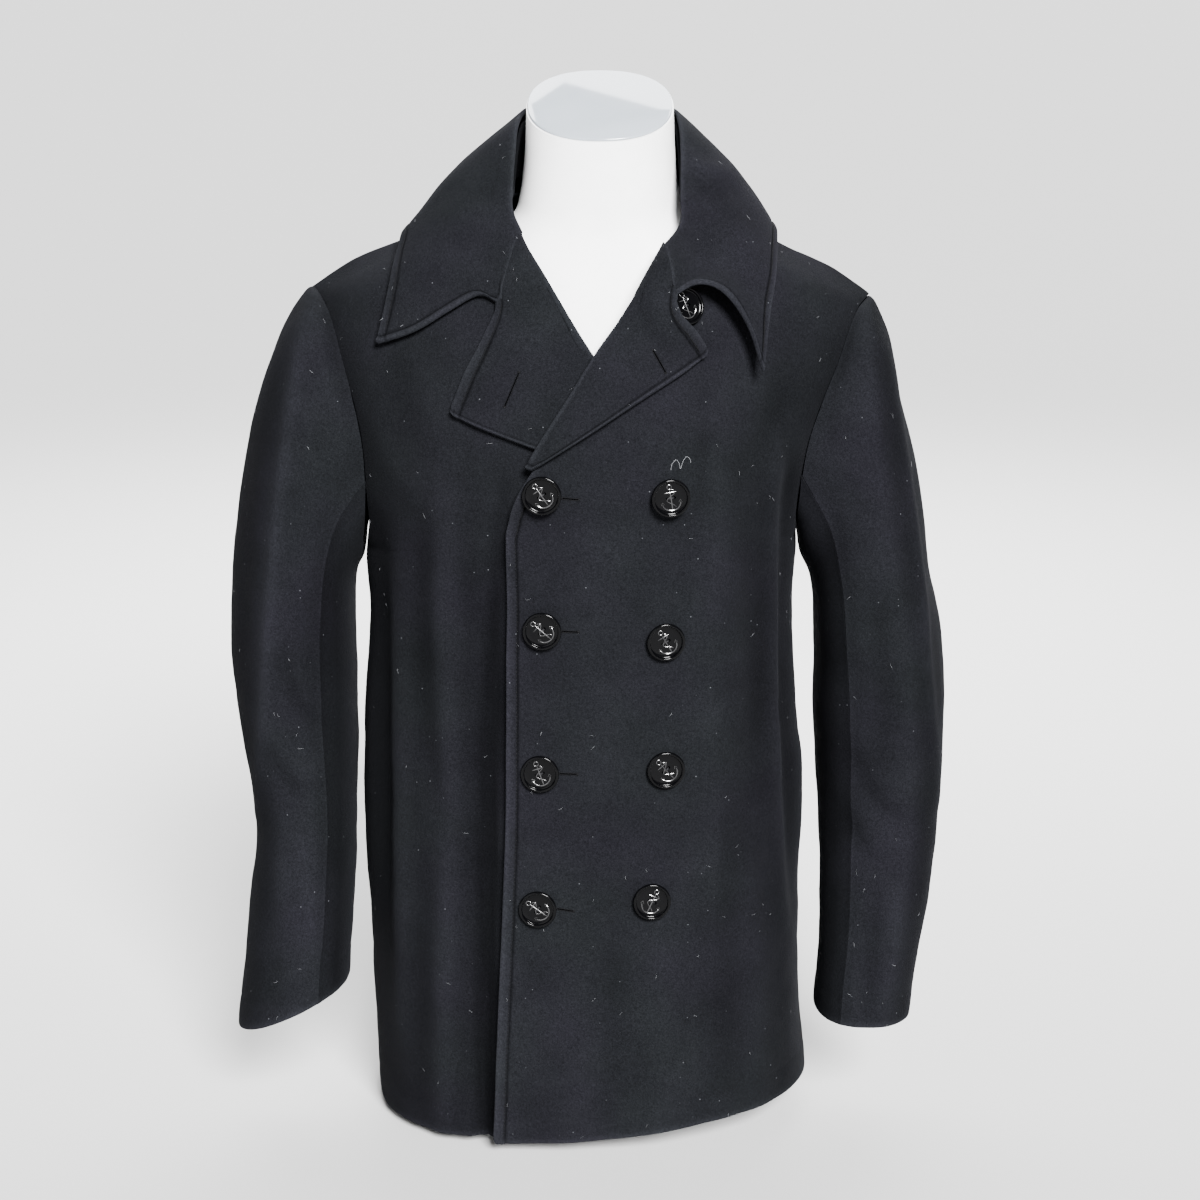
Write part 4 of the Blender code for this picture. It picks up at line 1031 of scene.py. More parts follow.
FRONT_FOLDS_LEFT = rows(
    Fold,
    (0.09, 0.62, 0.108, 0.5, 0.118, 0.36, 0.016, 0.0024),
    (0.125, 0.54, 0.13, 0.4, 0.123, 0.28, 0.013, -0.0026),
    (0.008, 0.26, 0.013, 0.13, 0.006, -0.02, 0.013, -0.002),
    (-0.03, 0.19, -0.024, 0.11, -0.03, -0.02, 0.015, 0.0018),
    (0.05, 0.23, 0.056, 0.13, 0.05, -0.02, 0.014, 0.0018),
    (0.085, 0.24, 0.096, 0.13, 0.09, -0.02, 0.013, -0.0028),
    (0.125, 0.25, 0.135, 0.14, 0.142, 0.0, 0.012, 0.0028),
    (0.16, 0.72, 0.142, 0.655, 0.115, 0.61, 0.013, -0.0022),
    (0.17, 0.65, 0.152, 0.61, 0.13, 0.585, 0.011, 0.0018),
    (0.147, 0.64, 0.148, 0.42, 0.164, 0.19, 0.006, 0.0056),
    (0.159, 0.62, 0.16, 0.42, 0.173, 0.2, 0.0075, -0.0075),
    (0.15, 0.4, 0.167, 0.375, 0.18, 0.34, 0.006, -0.0022),
    (-0.087, 0.56, -0.088, 0.25, -0.094, -0.14, 0.013, 0.0048),
)
BACK_FOLDS = rows(
    Fold,
    (-0.15, 0.66, -0.11, 0.56, -0.1, 0.42, 0.016, -0.004),
    (0.15, 0.65, 0.118, 0.55, 0.095, 0.41, 0.015, -0.0036),
    (-0.12, 0.38, -0.128, 0.22, -0.112, -0.02, 0.017, 0.004),
    (0.11, 0.35, 0.122, 0.19, 0.128, -0.02, 0.016, 0.0038),
    (-0.04, 0.42, -0.052, 0.24, -0.06, -0.02, 0.019, -0.0034),
    (0.035, 0.44, 0.048, 0.25, 0.045, -0.02, 0.017, -0.003),
    (0.0, 0.3, -0.006, 0.16, 0.002, -0.02, 0.015, 0.0026),
    (-0.07, 0.7, 0.0, 0.683, 0.08, 0.7, 0.014, -0.0024),
)
SLEEVE_FOLDS = {
    "right": rows(
        Fold,
        (-0.242, 0.77, -0.274, 0.58, -0.305, 0.28, 0.0055, 0.0048),
        (-0.23, 0.56, -0.248, 0.47, -0.252, 0.38, 0.01, -0.003),
        (-0.278, 0.44, -0.266, 0.395, -0.248, 0.37, 0.008, -0.0034),
        (-0.295, 0.36, -0.278, 0.325, -0.255, 0.31, 0.008, -0.0032),
        (-0.27, 0.28, -0.26, 0.21, -0.256, 0.14, 0.01, 0.0026),
        (-0.3, 0.64, -0.31, 0.52, -0.314, 0.4, 0.011, -0.0036),
        (-0.295, 0.24, -0.29, 0.18, -0.295, 0.1, 0.009, -0.0026),
    ),
    "left": rows(
        Fold,
        (0.245, 0.7, 0.276, 0.5, 0.301, 0.29, 0.0055, 0.0046),
        (0.23, 0.5, 0.248, 0.4, 0.242, 0.32, 0.011, -0.0032),
        (0.225, 0.35, 0.245, 0.305, 0.275, 0.29, 0.008, -0.003),
        (0.215, 0.3, 0.235, 0.262, 0.26, 0.25, 0.008, -0.0026),
        (0.245, 0.24, 0.24, 0.17, 0.235, 0.1, 0.009, -0.0028),
        (0.265, 0.23, 0.26, 0.17, 0.256, 0.11, 0.009, 0.0024),
        (0.288, 0.6, 0.299, 0.5, 0.304, 0.4, 0.011, -0.0034),
    ),
}
SLEEVE_BACK_FOLDS = {
    "right": rows(
        Fold,
        (-0.225, 0.43, -0.26, 0.395, -0.3, 0.405, 0.009, -0.004),
        (-0.23, 0.365, -0.265, 0.335, -0.305, 0.35, 0.009, -0.0036),
        (-0.245, 0.64, -0.26, 0.56, -0.27, 0.48, 0.011, -0.003),
    ),
    "left": rows(
        Fold,
        (0.205, 0.42, 0.24, 0.385, 0.285, 0.395, 0.009, -0.004),
        (0.21, 0.355, 0.25, 0.325, 0.29, 0.345, 0.009, -0.0036),
        (0.225, 0.62, 0.24, 0.54, 0.248, 0.46, 0.011, -0.003),
    ),
}
COLLAR_FOLDS = rows(
    Fold,
    (0.074, 0.862, 0.09, 0.852, 0.116, 0.848, 0.007, 0.0034),
    (0.076, 0.846, 0.092, 0.838, 0.118, 0.832, 0.007, -0.0022),
    (-0.08, 0.85, -0.096, 0.836, -0.116, 0.83, 0.009, -0.0018),
)


# --------------------------------------------------------------- the cloth pieces
BREAK_HEIGHT = 0.612
SWAY = (0.06, 0.0016)     # size and height of the slow unevenness of the panels
SLEEVE_SWAY, LAPEL_SWAY, COLLAR_SWAY = (0.05, 0.0016), (0.03, 0.0009), (0.035, 0.0014)
RIPPLE = (0.018, 0.0004, 9)   # and of the finer one, with its seed
FRONT_RIM = (Groove("left", STITCH_INSET, 0.0009, 0.0014, 0.0006),
             Groove("low", HEM_INSET, 0.0003, 0.0018, 0.0003))
HEM_RIM = (Groove("low", HEM_INSET, 0.0003, 0.0018, 0.0003),)
CUFF_RIM = (Groove("high", HEM_INSET, 0.0003, 0.0018, 0.0003),)


def from_middle(point):
    return Vector((point.x, point.y - RIDGE_Y, 0.0))


def to_left(_):
    return Vector((1, 0, 0))


def to_right(_):
    return Vector((-1, 0, 0))


def to_front(_):
    return Vector((0, -1, 0))


def make_fronts():
    for side, folds in (("right", FRONT_FOLDS_RIGHT), ("left", FRONT_FOLDS_LEFT)):
        name = "front_" + side
        points = fine_grid(front_grid(side, FRONT_COLUMNS), RIM_STEPS, SEAM_STEPS, RIM_STEPS,
                           SEAM_STEPS, per=SPLITS)
        points = round_corner(points, 0, 0, 0.005)
        normals = grid_normals(points, from_middle)
        lift = fold_lift(points, normals, folds, FRONT)
        below = np.clip((BREAK_HEIGHT - points[:, :, 2]) / 0.02, 0, 1)
        lift += rim_lift(edge_distances(points), FRONT_RIM) * below
        lift += wobble(points, *SWAY, 1 if side == "right" else 2)
        lift += wobble(points, *RIPPLE)
        # painted shade along the front edge's sunk stitch line
        shade = groove_painted_shade(edge_distances(points), FRONT_RIM[:1]) * below
        cloth_shell(name, points, from_middle, CLOTH, 1, lift, (TURNED, SEWN, TURNED, SEWN),
                    shade=shade)


def make_back():
    points = fine_grid(back_grid(BACK_COLUMNS), SEAM_STEPS, SEAM_STEPS, RIM_STEPS, SEAM_STEPS, per=SPLITS)
    normals = grid_normals(points, from_middle)
    lift = fold_lift(points, normals, BACK_FOLDS, BACK) + wobble(points, *SWAY, 3)
    lift += rim_lift(edge_distances(points), HEM_RIM) + wobble(points, *RIPPLE)
    cloth_shell("back", points, from_middle, CLOTH, 1, lift, (SEWN, SEWN, TURNED, SEWN))


def make_sleeves():
    for side, piece, outward in (("right", "top", to_right), ("right", "under", to_left),
                                 ("left", "top", to_left), ("left", "under", to_right)):
        points = fine_grid(sleeve_grid(side, piece), SEAM_STEPS, SEAM_STEPS, SEAM_STEPS,
                           RIM_STEPS, per=SPLITS)
        normals = grid_normals(points, outward)
        lift = fold_lift(points, normals, SLEEVE_FOLDS[side], FRONT)
        lift += fold_lift(points, normals, SLEEVE_BACK_FOLDS[side], BACK)
        lift += wobble(points, *SLEEVE_SWAY, 4 if side == "right" else 5)
        lift += rim_lift(edge_distances(points), CUFF_RIM) + wobble(points, *RIPPLE)
        cloth_shell("sleeve_" + side + "_" + piece, points, outward, CLOTH, 1, lift,
                    (SEWN, SEWN, SEWN, TURNED))


def coons(low, high, left, right):
    """A patch filled between four borders, each an array of points."""
    u = np.linspace(0, 1, len(low))[None, :, None]
    v = np.linspace(0, 1, len(left))[:, None, None]
    ruled = (1 - v) * low[None] + v * high[None] + (1 - u) * left[:, None] + u * right[:, None]
    corners = ((1 - v) * ((1 - u) * low[0] + u * low[-1]) + v * ((1 - u) * high[0] + u * high[-1]))
    return ruled - corners


LAPEL_ACROSS, LAPEL_UP = 40, 40


def lapel_patch(side):
    """A lapel's points: across from the roll to its free edge, up from the break."""
    shares = np.linspace(0, 1, LAPEL_UP + 1)
    across = np.linspace(0, 1, LAPEL_ACROSS + 1)
    low = np.array([lapel_edge(side, LAPEL_TIP * t) for t in across])
    right = np.array([lapel_edge(side, LAPEL_TIP + (1 - LAPEL_TIP) * t) for t in shares])
    left = np.array([roll_point(side, up) for up in shares])
    low[0] = left[0]
    high = left[-1] + (right[-1] - left[-1]) * across[:, None]
    grid = []
    for row in coons(low, high, left, right):
        points = []
        for i, (x, level) in enumerate(row):
            out = i / LAPEL_ACROSS
            point = on_front(side, x, level, lapel_above(side, x, level, out))
            point.y += ROLL_DROP * (1 - ease(out * LAPEL_ACROSS / 3))
            points.append(point)
        grid.append(points)
    return grid


LAPEL_RIMS = {
    "right": (Groove("right", STITCH_INSET, 0.0008, 0.0014, 0.0006),
              Groove("low", 0.0034, 0.0007, 0.0010, 0.0009)),
    "left": (Groove("right", STITCH_INSET, 0.0008, 0.0014, 0.0006),
             Groove("low", 0.0042, 0.0018, 0.0012, 0.0016)),
}
TIP_RADIUS = {"right": 0.008, "left": 0.011}
LEAF_RIMS = (Groove("right", LEAF_INSET, 0.0008, 0.0014, 0.0006),)
LEAF_END_RIMS = (Groove("low", 0.0062, 0.0009, 0.0014, 0.0011),
                 Groove("high", 0.0062, 0.0009, 0.0014, 0.0011))
LEAF_NOTCH = 0.048        # the leaf's ends are free from here out
LEAF_TIP_RADIUS = 0.006


def make_lapels():
    for side in ("right", "left"):
        points = fine_grid(pull_in(lapel_patch(side)), SEAM_STEPS, RIM_STEPS, RIM_STEPS, SEAM_STEPS,
                           per=2, step=LAPEL_SPACING)
        points = round_corner(points, 0, -1, TIP_RADIUS[side])
        lift = rim_lift(edge_distances(points), LAPEL_RIMS[side])
        lift += wobble(points, *LAPEL_SWAY, 6 if side == "right" else 7)
        # the last argument is painted shade along the sunk stitch lines
        cloth_shell("lapel_" + side, points, to_front, DOUBLE_CLOTH, 1, lift,
                    (TURNED, TURNED, TURNED, SEWN),
                    groove_painted_shade(edge_distances(points), LAPEL_RIMS[side]))


def make_collar():
    points = fine_grid(leaf_grid(), SEAM_STEPS, RIM_STEPS, RIM_STEPS, RIM_STEPS, per=SPLITS,
                       step=COLLAR_SPACING)
    for row in (0, -1):
        points = round_corner(points, row, -1, LEAF_TIP_RADIUS)
    edges = edge_distances(points)
    free = np.clip((edges["left"] - LEAF_NOTCH) / 0.006, 0, 1)
    normals = grid_normals(points, from_middle)
    lift = rim_lift(edges, LEAF_RIMS) + rim_lift(edges, LEAF_END_RIMS) * free
    lift += fold_lift(points, normals, COLLAR_FOLDS, FRONT) + wobble(points, *COLLAR_SWAY, 8)
    # the last argument is painted shade along the sunk stitch lines
    cloth_shell("collar_leaf", points, from_middle, DOUBLE_CLOTH, 1, lift,
                (TURNED, TURNED, TURNED, TURNED),
                groove_painted_shade(edges, LEAF_RIMS) + groove_painted_shade(edges, LEAF_END_RIMS) * free)
    points = fine_grid(stand_grid(), SEAM_STEPS, SEAM_STEPS, SEAM_STEPS, SEAM_STEPS, per=SPLITS,
                       step=COLLAR_SPACING)
    cloth_shell("collar_stand", points, from_middle, CLOTH, 0, 0.0, (SEWN, SEWN, TURNED, SEWN))


# ------------------------------------------------------------------- topstitching
STITCH_LENGTH = 0.0030
STITCH_GAP = 0.0007
STITCH_RADIUS = 0.00042


def along(line, step):
    """A polyline resampled evenly."""
    at = arc(line)
    count = max(2, int(at[-1] / step) + 1)
    return sample(line, at, np.linspace(0, at[-1], count))


def inset_line(name, border, inset, skip=0.0):
    """Points and facings on a piece's outer face, set in from one of its borders."""
    outer, normals = PIECES[name][1:3]
    if border in ("low", "high"):
        outer, normals = outer.transpose(1, 0, 2), normals.transpose(1, 0, 2)
    if border in ("right", "high"):
        outer, normals = outer[:, ::-1], normals[:, ::-1]
    line = []
    for points, facing in zip(outer, normals):
        both = np.concatenate([points, facing], axis=1)
        line.append(sample(both, arc(points), inset))
    line = np.array(line)
    at = arc(outer[:, 0])
    return line[(at > skip) & (at < at[-1] - inset)]


def tube_between(bm, points, radius, sides=6):
    """A thin tube with pointed ends along a few points."""
    rings = []
    for i, p in enumerate(points):
        before, after = points[max(i - 1, 0)], points[min(i + 1, len(points) - 1)]
        axis = (after - before).normalized()
        turn = axis.to_track_quat("Z", "Y").to_matrix()
        size = radius * (0.35 if i in (0, len(points) - 1) else 1.0)
        rings.append([bm.verts.new(p + turn @ Vector((math.cos(a) * size, math.sin(a) * size, 0)))
                      for a in (2 * math.pi * k / sides for k in range(sides))])
    for low, high in zip(rings, rings[1:]):
        for k in range(sides):
            bm.faces.new((low[k], low[(k + 1) % sides], high[(k + 1) % sides], high[k]))
    bm.faces.new(list(reversed(rings[0])))
    bm.faces.new(rings[-1])


def make_topstitch(name, lines):
    """Short stitches, one after another, laid in the groove along a piece's borders."""
    bm = bmesh.new()
    pitch = STITCH_LENGTH + STITCH_GAP
    for line in lines:
        both = along(line, pitch / 4)
        for i in range(0, len(both) - 4, 4):
            stitch = []
            for k, rise in ((0, -0.0001), (1, 0.0002), (2, 0.0002), (3, -0.0001)):
                p, n = Vector(both[i + k][:3]), Vector(both[i + k][3:]).normalized()
                stitch.append(p + n * rise)
            tube_between(bm, stitch, STITCH_RADIUS, 5)
    finish_piece(name, built(name, bm), "thread")


def make_all_topstitch():
    front = inset_line("front_left", "left", STITCH_INSET, 0.004)
    make_topstitch("topstitch_front", [front[front[:, 2] < front[0, 2] + BREAK_HEIGHT - 0.02]])
    for side in ("right", "left"):
        lapel = "lapel_" + side
        make_topstitch("topstitch_" + lapel, [inset_line(lapel, "right", STITCH_INSET, STITCH_INSET)])
    make_topstitch("topstitch_collar", [inset_line("collar_leaf", "right", LEAF_INSET, LEAF_INSET)])


# -------------------------------------------------------------------- buttonholes
HoleRow = namedtuple("HoleRow", "name on x0 z0 x1 z1 rim")
HOLES = rows(
    HoleRow,
    ("buttonhole_1", "front_left", -0.031, 0.5955, -0.018, 0.5945, 0.0009),
    ("buttonhole_2", "front_left", -0.032, 0.48, -0.0185, 0.4795, 0.0009),
    ("buttonhole_3", "front_left", -0.0345, 0.3535, -0.02, 0.353, 0.0009),
    ("buttonhole_4", "front_left", -0.037, 0.231, -0.023, 0.229, 0.0009),
    ("lapel_hole_right", "lapel_right", -0.0675, 0.6955, -0.079, 0.669, 0.001),
    ("lapel_hole_left", "lapel_left", 0.044, 0.715, 0.054, 0.698, 0.001),
)
HOLE_GAP = 0.0007
HOLE_STITCHES = 22        # stitches along each side of a buttonhole
STITCH_LEAN, STITCH_RISE = 0.0003, 0.0004
OVER_STITCH, BAR_STITCH = 0.00034, 0.0003   # radii of the side and end stitches
BAR_HALF, BAR_START, BAR_PITCH = 0.0014, 0.0003, 0.0005
SLIT_RISE = 0.00022


def on_piece(name, x, z):
    """The point and facing of a piece's outer face, straight in from the front."""
    tree = PIECES[name][3]
    hit, normal, _, _ = tree.ray_cast(Vector((x, -1.0, z)), Vector((0, 1, 0)))
    if hit is None:
        hit, normal, _, _ = tree.find_nearest(Vector((x, -0.13, z)))
    if normal.y > 0:
        normal = -normal
    return hit, normal


def make_buttonholes():
    for row in HOLES:
        rim, slit = bmesh.new(), bmesh.new()
        count = HOLE_STITCHES
        spots = [on_piece(row.on, row.x0 + (row.x1 - row.x0) * i / count,
                          row.z0 + (row.z1 - row.z0) * i / count) for i in range(count + 1)]
        axis = (spots[-1][0] - spots[0][0]).normalized()
        for sign in (-1, 1):
            for i, (p, n) in enumerate(spots):
                side = axis.cross(n).normalized() * sign
                near = p + side * HOLE_GAP * 0.5 + n * 0.0001
                far = p + side * (HOLE_GAP * 0.5 + row.rim) + n * -0.0001
                top = (near + far) / 2 + n * STITCH_RISE
                lean = axis * STITCH_LEAN
                tube_between(rim, [near - lean, top, far + lean], OVER_STITCH, 5)
        for end, (p, n) in ((-1, spots[0]), (1, spots[-1])):
            side = axis.cross(n).normalized()
            for k in range(3):
                base = p + axis * end * (BAR_START + BAR_PITCH * k)
                bar = [base - side * BAR_HALF, base + n * STITCH_RISE, base + side * BAR_HALF]
                tube_between(rim, bar, BAR_STITCH, 5)
        # a near-black strip over the slit: painted shadow where the cut would be dark
        for (p, n), (q, m) in zip(spots, spots[1:]):
            side = axis.cross(n).normalized() * HOLE_GAP * 0.7
            corners = (p - side + n * SLIT_RISE, q - side + m * SLIT_RISE,
                       q + side + m * SLIT_RISE, p + side + n * SLIT_RISE)
            slit.faces.new([slit.verts.new(v) for v in corners])
        for kind, bm, label in (("thread", rim, row.name), ("slit", slit, row.name + "_inside")):
            finish_piece(label, built(label, bm), kind)


# ----------------------------------------------------------------------- buttons
BUTTON_PROFILE = (
    # share of the radius, share of the thickness
    (0.00, 0.50), (0.30, 0.50), (0.60, 0.51), (0.78, 0.54), (0.815, 0.60), (0.83, 0.74),
    (0.85, 0.92), (0.88, 0.99), (0.92, 1.00), (0.96, 0.95), (0.985, 0.84), (1.00, 0.66),
    (0.99, 0.42), (0.93, 0.18), (0.80, 0.03), (0.70, 0.00), (0.00, 0.00),
)
BUTTON_SEGMENTS = 72
HOLE_RADIUS = 0.00125
HOLE_SPREAD = 0.0031
SHANK_LEVELS, SHANK_RADIUS = (-0.0022, -0.001, 0.0003), 0.0022
SHARP_RIM = 38            # degrees past which a button's edge is drawn sharp


def button_body():
    """The turned disc with its raised rim, cut by four thread holes."""
    bm = bmesh.new()
    rings = []
    for r, t in BUTTON_PROFILE:
        if r == 0:
            rings.append([bm.verts.new((0, 0, t * BUTTON_THICKNESS))])
            continue
        rings.append([bm.verts.new((r * BUTTON_RADIUS * math.cos(a), r * BUTTON_RADIUS * math.sin(a),
                                    t * BUTTON_THICKNESS))
                      for a in (2 * math.pi * k / BUTTON_SEGMENTS for k in range(BUTTON_SEGMENTS))])
    for inner, outer in zip(rings, rings[1:]):
        for k in range(BUTTON_SEGMENTS):
            j = (k + 1) % BUTTON_SEGMENTS
            face = [inner[k % len(inner)], outer[k % len(outer)], outer[j % len(outer)],
                    inner[j % len(inner)]]
            bm.faces.new(list(dict.fromkeys(face)))
    mesh = built("button_body", bm, smooth=False)
    bm = bmesh.new()
    for x, y in ((HOLE_SPREAD, 0), (-HOLE_SPREAD, 0), (0, HOLE_SPREAD), (0, -HOLE_SPREAD)):
        bmesh.ops.create_cone(bm, cap_ends=True, segments=20, radius1=HOLE_RADIUS,
                              radius2=HOLE_RADIUS, depth=0.02, matrix=Matrix.Translation((x, y, 0)))
    body = bpy.data.objects.new("button_body", mesh)
    cutter = bpy.data.objects.new("button_cut", built("button_cut", bm, smooth=False))
    bpy.context.scene.collection.objects.link(body)
    bpy.context.scene.collection.objects.link(cutter)
    cut = body.modifiers.new("holes", "BOOLEAN")
    cut.object = cutter
    cut.operation = "DIFFERENCE"
    bpy.context.view_layer.update()
    done = bpy.data.meshes.new_from_object(body.evaluated_get(bpy.context.evaluated_depsgraph_get()))
    bpy.data.objects.remove(body)
    bpy.data.objects.remove(cutter)
    return done


def emblem_mesh():
    """A plain anchor in low relief: ring, stock, shank, curved arms, and a rope."""
    top = 0.56 * BUTTON_THICKNESS
    bm = bmesh.new()

    def bar(points, radius):
        tube_between(bm, [Vector((x, y, top)) for x, y in points], radius, 8)

    unit = BUTTON_RADIUS * 0.74
    shank = [(0.0, unit * y) for y in (0.62, 0.3, 0.0, -0.3, -0.62, -0.86)]
    bar(shank, 0.0007)
    bar([(unit * x, unit * 0.42) for x in (-0.42, -0.2, 0.0, 0.2, 0.42)], 0.00062)
    ring = [(unit * 0.16 * math.cos(a), unit * (0.80 + 0.16 * math.sin(a)))
            for a in (2 * math.pi * k / 16 for k in range(17))]
    bar(ring, 0.00048)
    arms = [(unit * 0.66 * math.sin(a), unit * (-0.20 - 0.66 * math.cos(a)))
            for a in (math.radians(-78 + 156 * k / 16) for k in range(17))]
    bar(arms, 0.0007)
    for sign in (-1, 1):
        tip = (sign * unit * 0.645, unit * -0.34)
        bar([(tip[0] - sign * unit * 0.16, tip[1] - unit * 0.02), (tip[0], tip[1] + unit * 0.16),
             (tip[0] + sign * unit * 0.10, tip[1] - unit * 0.06)], 0.00055)
    rope = [(unit * (0.34 * math.sin(a) * (1 - 0.25 * t)), unit * (0.62 - 1.30 * t))
            for t, a in ((k / 40, 0.4 + 7.6 * k / 40) for k in range(41))]
    bar(rope, 0.00045)
    return built("emblem", bm, smooth=False)


def join_meshes(meshes, name):
    bm = bmesh.new()
    for mesh in meshes:
        bm.from_mesh(mesh)
    return built(name, bm, smooth=False)


def thread_mesh():
    """Two crossed loops of thread through the four holes, and the shank under them."""
    bm = bmesh.new()
    top = 0.5 * BUTTON_THICKNESS
    for x, y in ((1, 0), (0, 1)):
        for side in (-0.0004, 0.0, 0.0004):
            ends = [Vector((x * HOLE_SPREAD * t + y * side, y * HOLE_SPREAD * t + x * side,
                            top + 0.0005 * (1 - t * t) - 0.0006 * t ** 8)) for t in (-1, -0.6, 0, 0.6, 1)]
            tube_between(bm, ends, 0.00026, 6)
    tube_between(bm, [Vector((0, 0, z)) for z in SHANK_LEVELS], SHANK_RADIUS, 10)
    return built("button_thread", bm, smooth=False)


def make_buttons():
    emblem = emblem_mesh()
    for face in emblem.polygons:
        face.material_index = 1
    body = join_meshes([button_body(), emblem], "button_shape")
    thread = thread_mesh()
    for row in BUTTONS:
        where = place_button(row)
        mesh = body.copy()
        mesh.transform(where)
        mesh.shade_smooth()
        mesh.set_sharp_from_angle(angle=math.radians(SHARP_RIM))
        button = finish_piece(row.name, mesh, "button")
        mesh.materials.append(MATERIALS["relief"])
        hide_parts(row.name)
        sewn = thread.copy()
        sewn.transform(where)
        sewn.shade_smooth()
        finish_piece(row.name + "_thread", sewn, "button_thread")


# -------------------------------------------------------------------- lint, threads
THREADS = (
    ("front_left", ((0.0585, 0.6185), (0.0595, 0.6235), (0.0630, 0.6270), (0.0655, 0.6235),
                    (0.0665, 0.6195), (0.0685, 0.6250), (0.0715, 0.6290), (0.0745, 0.6265),
                    (0.0750, 0.6235))),
)


LINT_SEED = 11
LINT_COUNTS = {"front_left": 80, "front_right": 50, "sleeve_left_top": 36, "sleeve_right_top": 36,
               "back": 50, "collar_leaf": 26, "lapel_left": 6, "lapel_right": 6}


def make_lint():
    """Short pale fibres caught in the nap, and one stray white thread."""
    random.seed(LINT_SEED)
    bm = bmesh.new()
    for name, count in LINT_COUNTS.items():
        outer, normals = PIECES[name][1], PIECES[name][2]
        rows, columns = outer.shape[:2]
        for _ in range(count):
            r, c = random.randrange(3, rows - 4), random.randrange(3, columns - 4)
            share = random.random()
            p = Vector(outer[r, c] * (1 - share) + outer[r + 1, c + 1] * share)
            n = Vector(normals[r, c])
            way = n.orthogonal().normalized()
            way.rotate(Matrix.Rotation(random.uniform(0, 2 * math.pi), 3, n))
            bend = n.cross(way) * random.uniform(-0.0008, 0.0008)
            size = random.uniform(0.0008, 0.0028)
            points = [p + way * size * t + bend * (t * t - 1) + n * (0.0003 + 0.0004 * (1 - t * t))
                      for t in (-1, -0.5, 0, 0.5, 1)]
            tube_between(bm, points, random.uniform(0.00004, 0.00009), 4)
    for name, path in THREADS:
        points = []
        for x, z in smooth_path(path):
            hit, n = on_piece(name, x, z)
            points.append(hit + n * 0.0006)
        tube_between(bm, points, 0.00012, 6)
    finish_piece("lint", built("lint", bm), "lint")


def smooth_path(path):
    return [tuple(p) for p in refine(np.array(path), 6)]


# --------------------------------------------------------------------- dress form
FORM_STEPS = 96


def form_ring(row, scale=1.0, rise=0.0):
    ring = []
    tilt = NECK_TILT * ease((row.height - NECK_TILT_START) / (FORM[-1].height - NECK_TILT_START))
    for i in range(FORM_STEPS):
        angle = 2 * math.pi * i / FORM_STEPS
        c, s = math.cos(angle), math.sin(angle)
        depth = row.back if s > 0 else row.front
        x = scale * row.half_width * math.copysign(abs(c) ** (2 / FORM_CORNER), c)
        y = scale * depth * math.copysign(abs(s) ** (2 / FORM_CORNER), s)
        ring.append((x, y, row.height + tilt * y + rise))
    return ring


def ring_loft(name, rings, kind):
    """Closed rings joined by quads, each end closed by a single face."""
    bm = bmesh.new()
    loops = [[bm.verts.new(point) for point in ring] for ring in rings]
    for low, high in zip(loops, loops[1:]):
        for i in range(len(low)):
            j = (i + 1) % len(low)
            bm.faces.new((low[i], low[j], high[j], high[i]))
    bm.faces.new(list(reversed(loops[0])))
    bm.faces.new(loops[-1])
    mesh = built(name, bm)
    mesh.set_sharp_from_angle(angle=math.radians(40))
    return finish_piece(name, mesh, kind)


def make_form():
    rings = refine(np.array([form_ring(row) for row in FORM]), 5)
    torso = ring_loft("form_body", rings, "form")
    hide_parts("form_torso")
    top = FORM[-1]
    bevel = 0.0006
    cap = [form_ring(top, CAP_SCALE - 0.008, CAP_GAP), form_ring(top, CAP_SCALE, CAP_GAP + bevel),
           form_ring(top, CAP_SCALE, CAP_GAP + CAP_THICKNESS - bevel),
           form_ring(top, CAP_SCALE - 0.008, CAP_GAP + CAP_THICKNESS)]
    plate = ring_loft("form_cap_plate", cap, "cap")
    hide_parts("form_neck_cap")


# ------------------------------------------------------------------ studio, camera
FLOOR_REACH, FLOOR_TONE = 80.0, 0.42
WORLD_LIGHT, WORLD_SEEN = 0.22, 0.92   # the pale backdrop lights the coat only softly
SUNS = (
    # name, place it shines from, width in degrees, strength
    ("key", (0.95, -3.2, 2.6), 20.0, 22.0),
    ("fill", (-2.2, -3.2, 1.9), 40.0, 1.0),
    ("back", (0.90, 4.2, 2.4), 40.0, 3.0),
)
BACKDROP_WATTS, BACKDROP_SIZE, BACKDROP_SPREAD = 110.0, 2.4, 110
BACKDROP_PLACE, BACKDROP_TILT = (0, 1.9, 1.7), -12
LENS, SENSOR = 81, 36     # millimetres
EYE, EYE_TILT = (0, -2.345, 1.055), 76
COAT_MIDDLE = Vector((0, 0, 0.45))


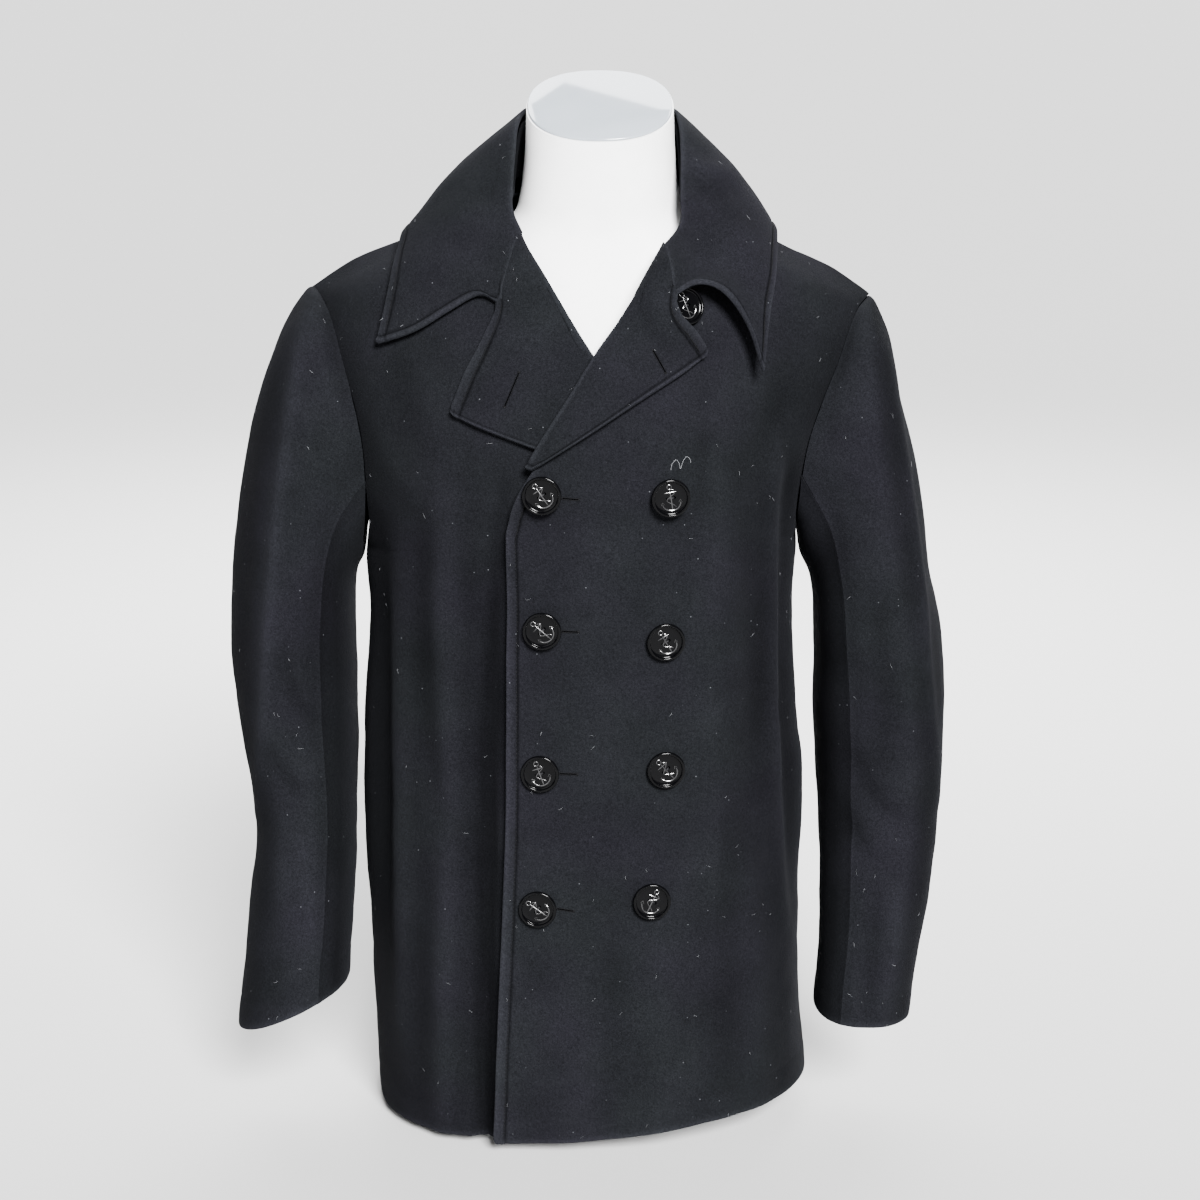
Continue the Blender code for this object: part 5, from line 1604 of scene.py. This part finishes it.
def make_studio():
    floor_mesh = bpy.data.meshes.new("floor")
    corners = [(FLOOR_REACH * x, FLOOR_REACH * y, 0) for x, y in ((-1, -1), (1, -1), (1, 1), (-1, 1))]
    floor_mesh.from_pydata(corners, [], [(0, 1, 2, 3)])
    floor = bpy.data.objects.new("floor", floor_mesh)
    bpy.context.scene.collection.objects.link(floor)
    material, _, _, shader = new_material("floor_pale")
    shader.inputs["Base Color"].default_value = (FLOOR_TONE, FLOOR_TONE, FLOOR_TONE, 1)
    shader.inputs["Roughness"].default_value = 0.9
    floor_mesh.materials.append(material)
    world = bpy.data.worlds.new("studio")
    world.use_nodes = True
    background = world.node_tree.nodes["Background"]
    background.inputs["Color"].default_value = (1.0, 1.0, 1.0, 1)
    seen = world.node_tree.nodes.new("ShaderNodeLightPath").outputs["Is Camera Ray"]
    strength = spread_values(world.node_tree.nodes, world.node_tree.links, seen, 0.0, 1.0,
                             WORLD_LIGHT, WORLD_SEEN)
    world.node_tree.links.new(strength, background.inputs["Strength"])
    bpy.context.scene.world = world
    for name, place, angle, strength in SUNS:
        light = bpy.data.lights.new(name, "SUN")
        light.energy = strength
        light.angle = math.radians(angle)
        add_lamp(name, light, place)
    light = bpy.data.lights.new("backdrop", "AREA")
    light.energy = BACKDROP_WATTS
    light.size = BACKDROP_SIZE
    light.spread = math.radians(BACKDROP_SPREAD)
    lamp = add_lamp("backdrop", light, BACKDROP_PLACE)
    lamp.rotation_euler = (math.radians(BACKDROP_TILT), 0, 0)
    camera = bpy.data.cameras.new("camera")
    camera.lens = LENS
    camera.sensor_width = SENSOR
    eye = bpy.data.objects.new("camera", camera)
    eye.location = EYE
    eye.rotation_euler = (math.radians(EYE_TILT), 0, 0)
    bpy.context.scene.collection.objects.link(eye)
    bpy.context.scene.camera = eye


def add_lamp(name, light, place):
    """A lamp aimed at the middle of the coat."""
    lamp = bpy.data.objects.new(name, light)
    bpy.context.scene.collection.objects.link(lamp)
    lamp.location = place
    aim = COAT_MIDDLE - Vector(place)
    lamp.rotation_euler = aim.to_track_quat("-Z", "Y").to_euler()
    return lamp


make_form()
make_fronts()
make_back()
make_sleeves()
make_lapels()
make_collar()
make_all_topstitch()
make_buttonholes()
make_buttons()
make_lint()
make_studio()
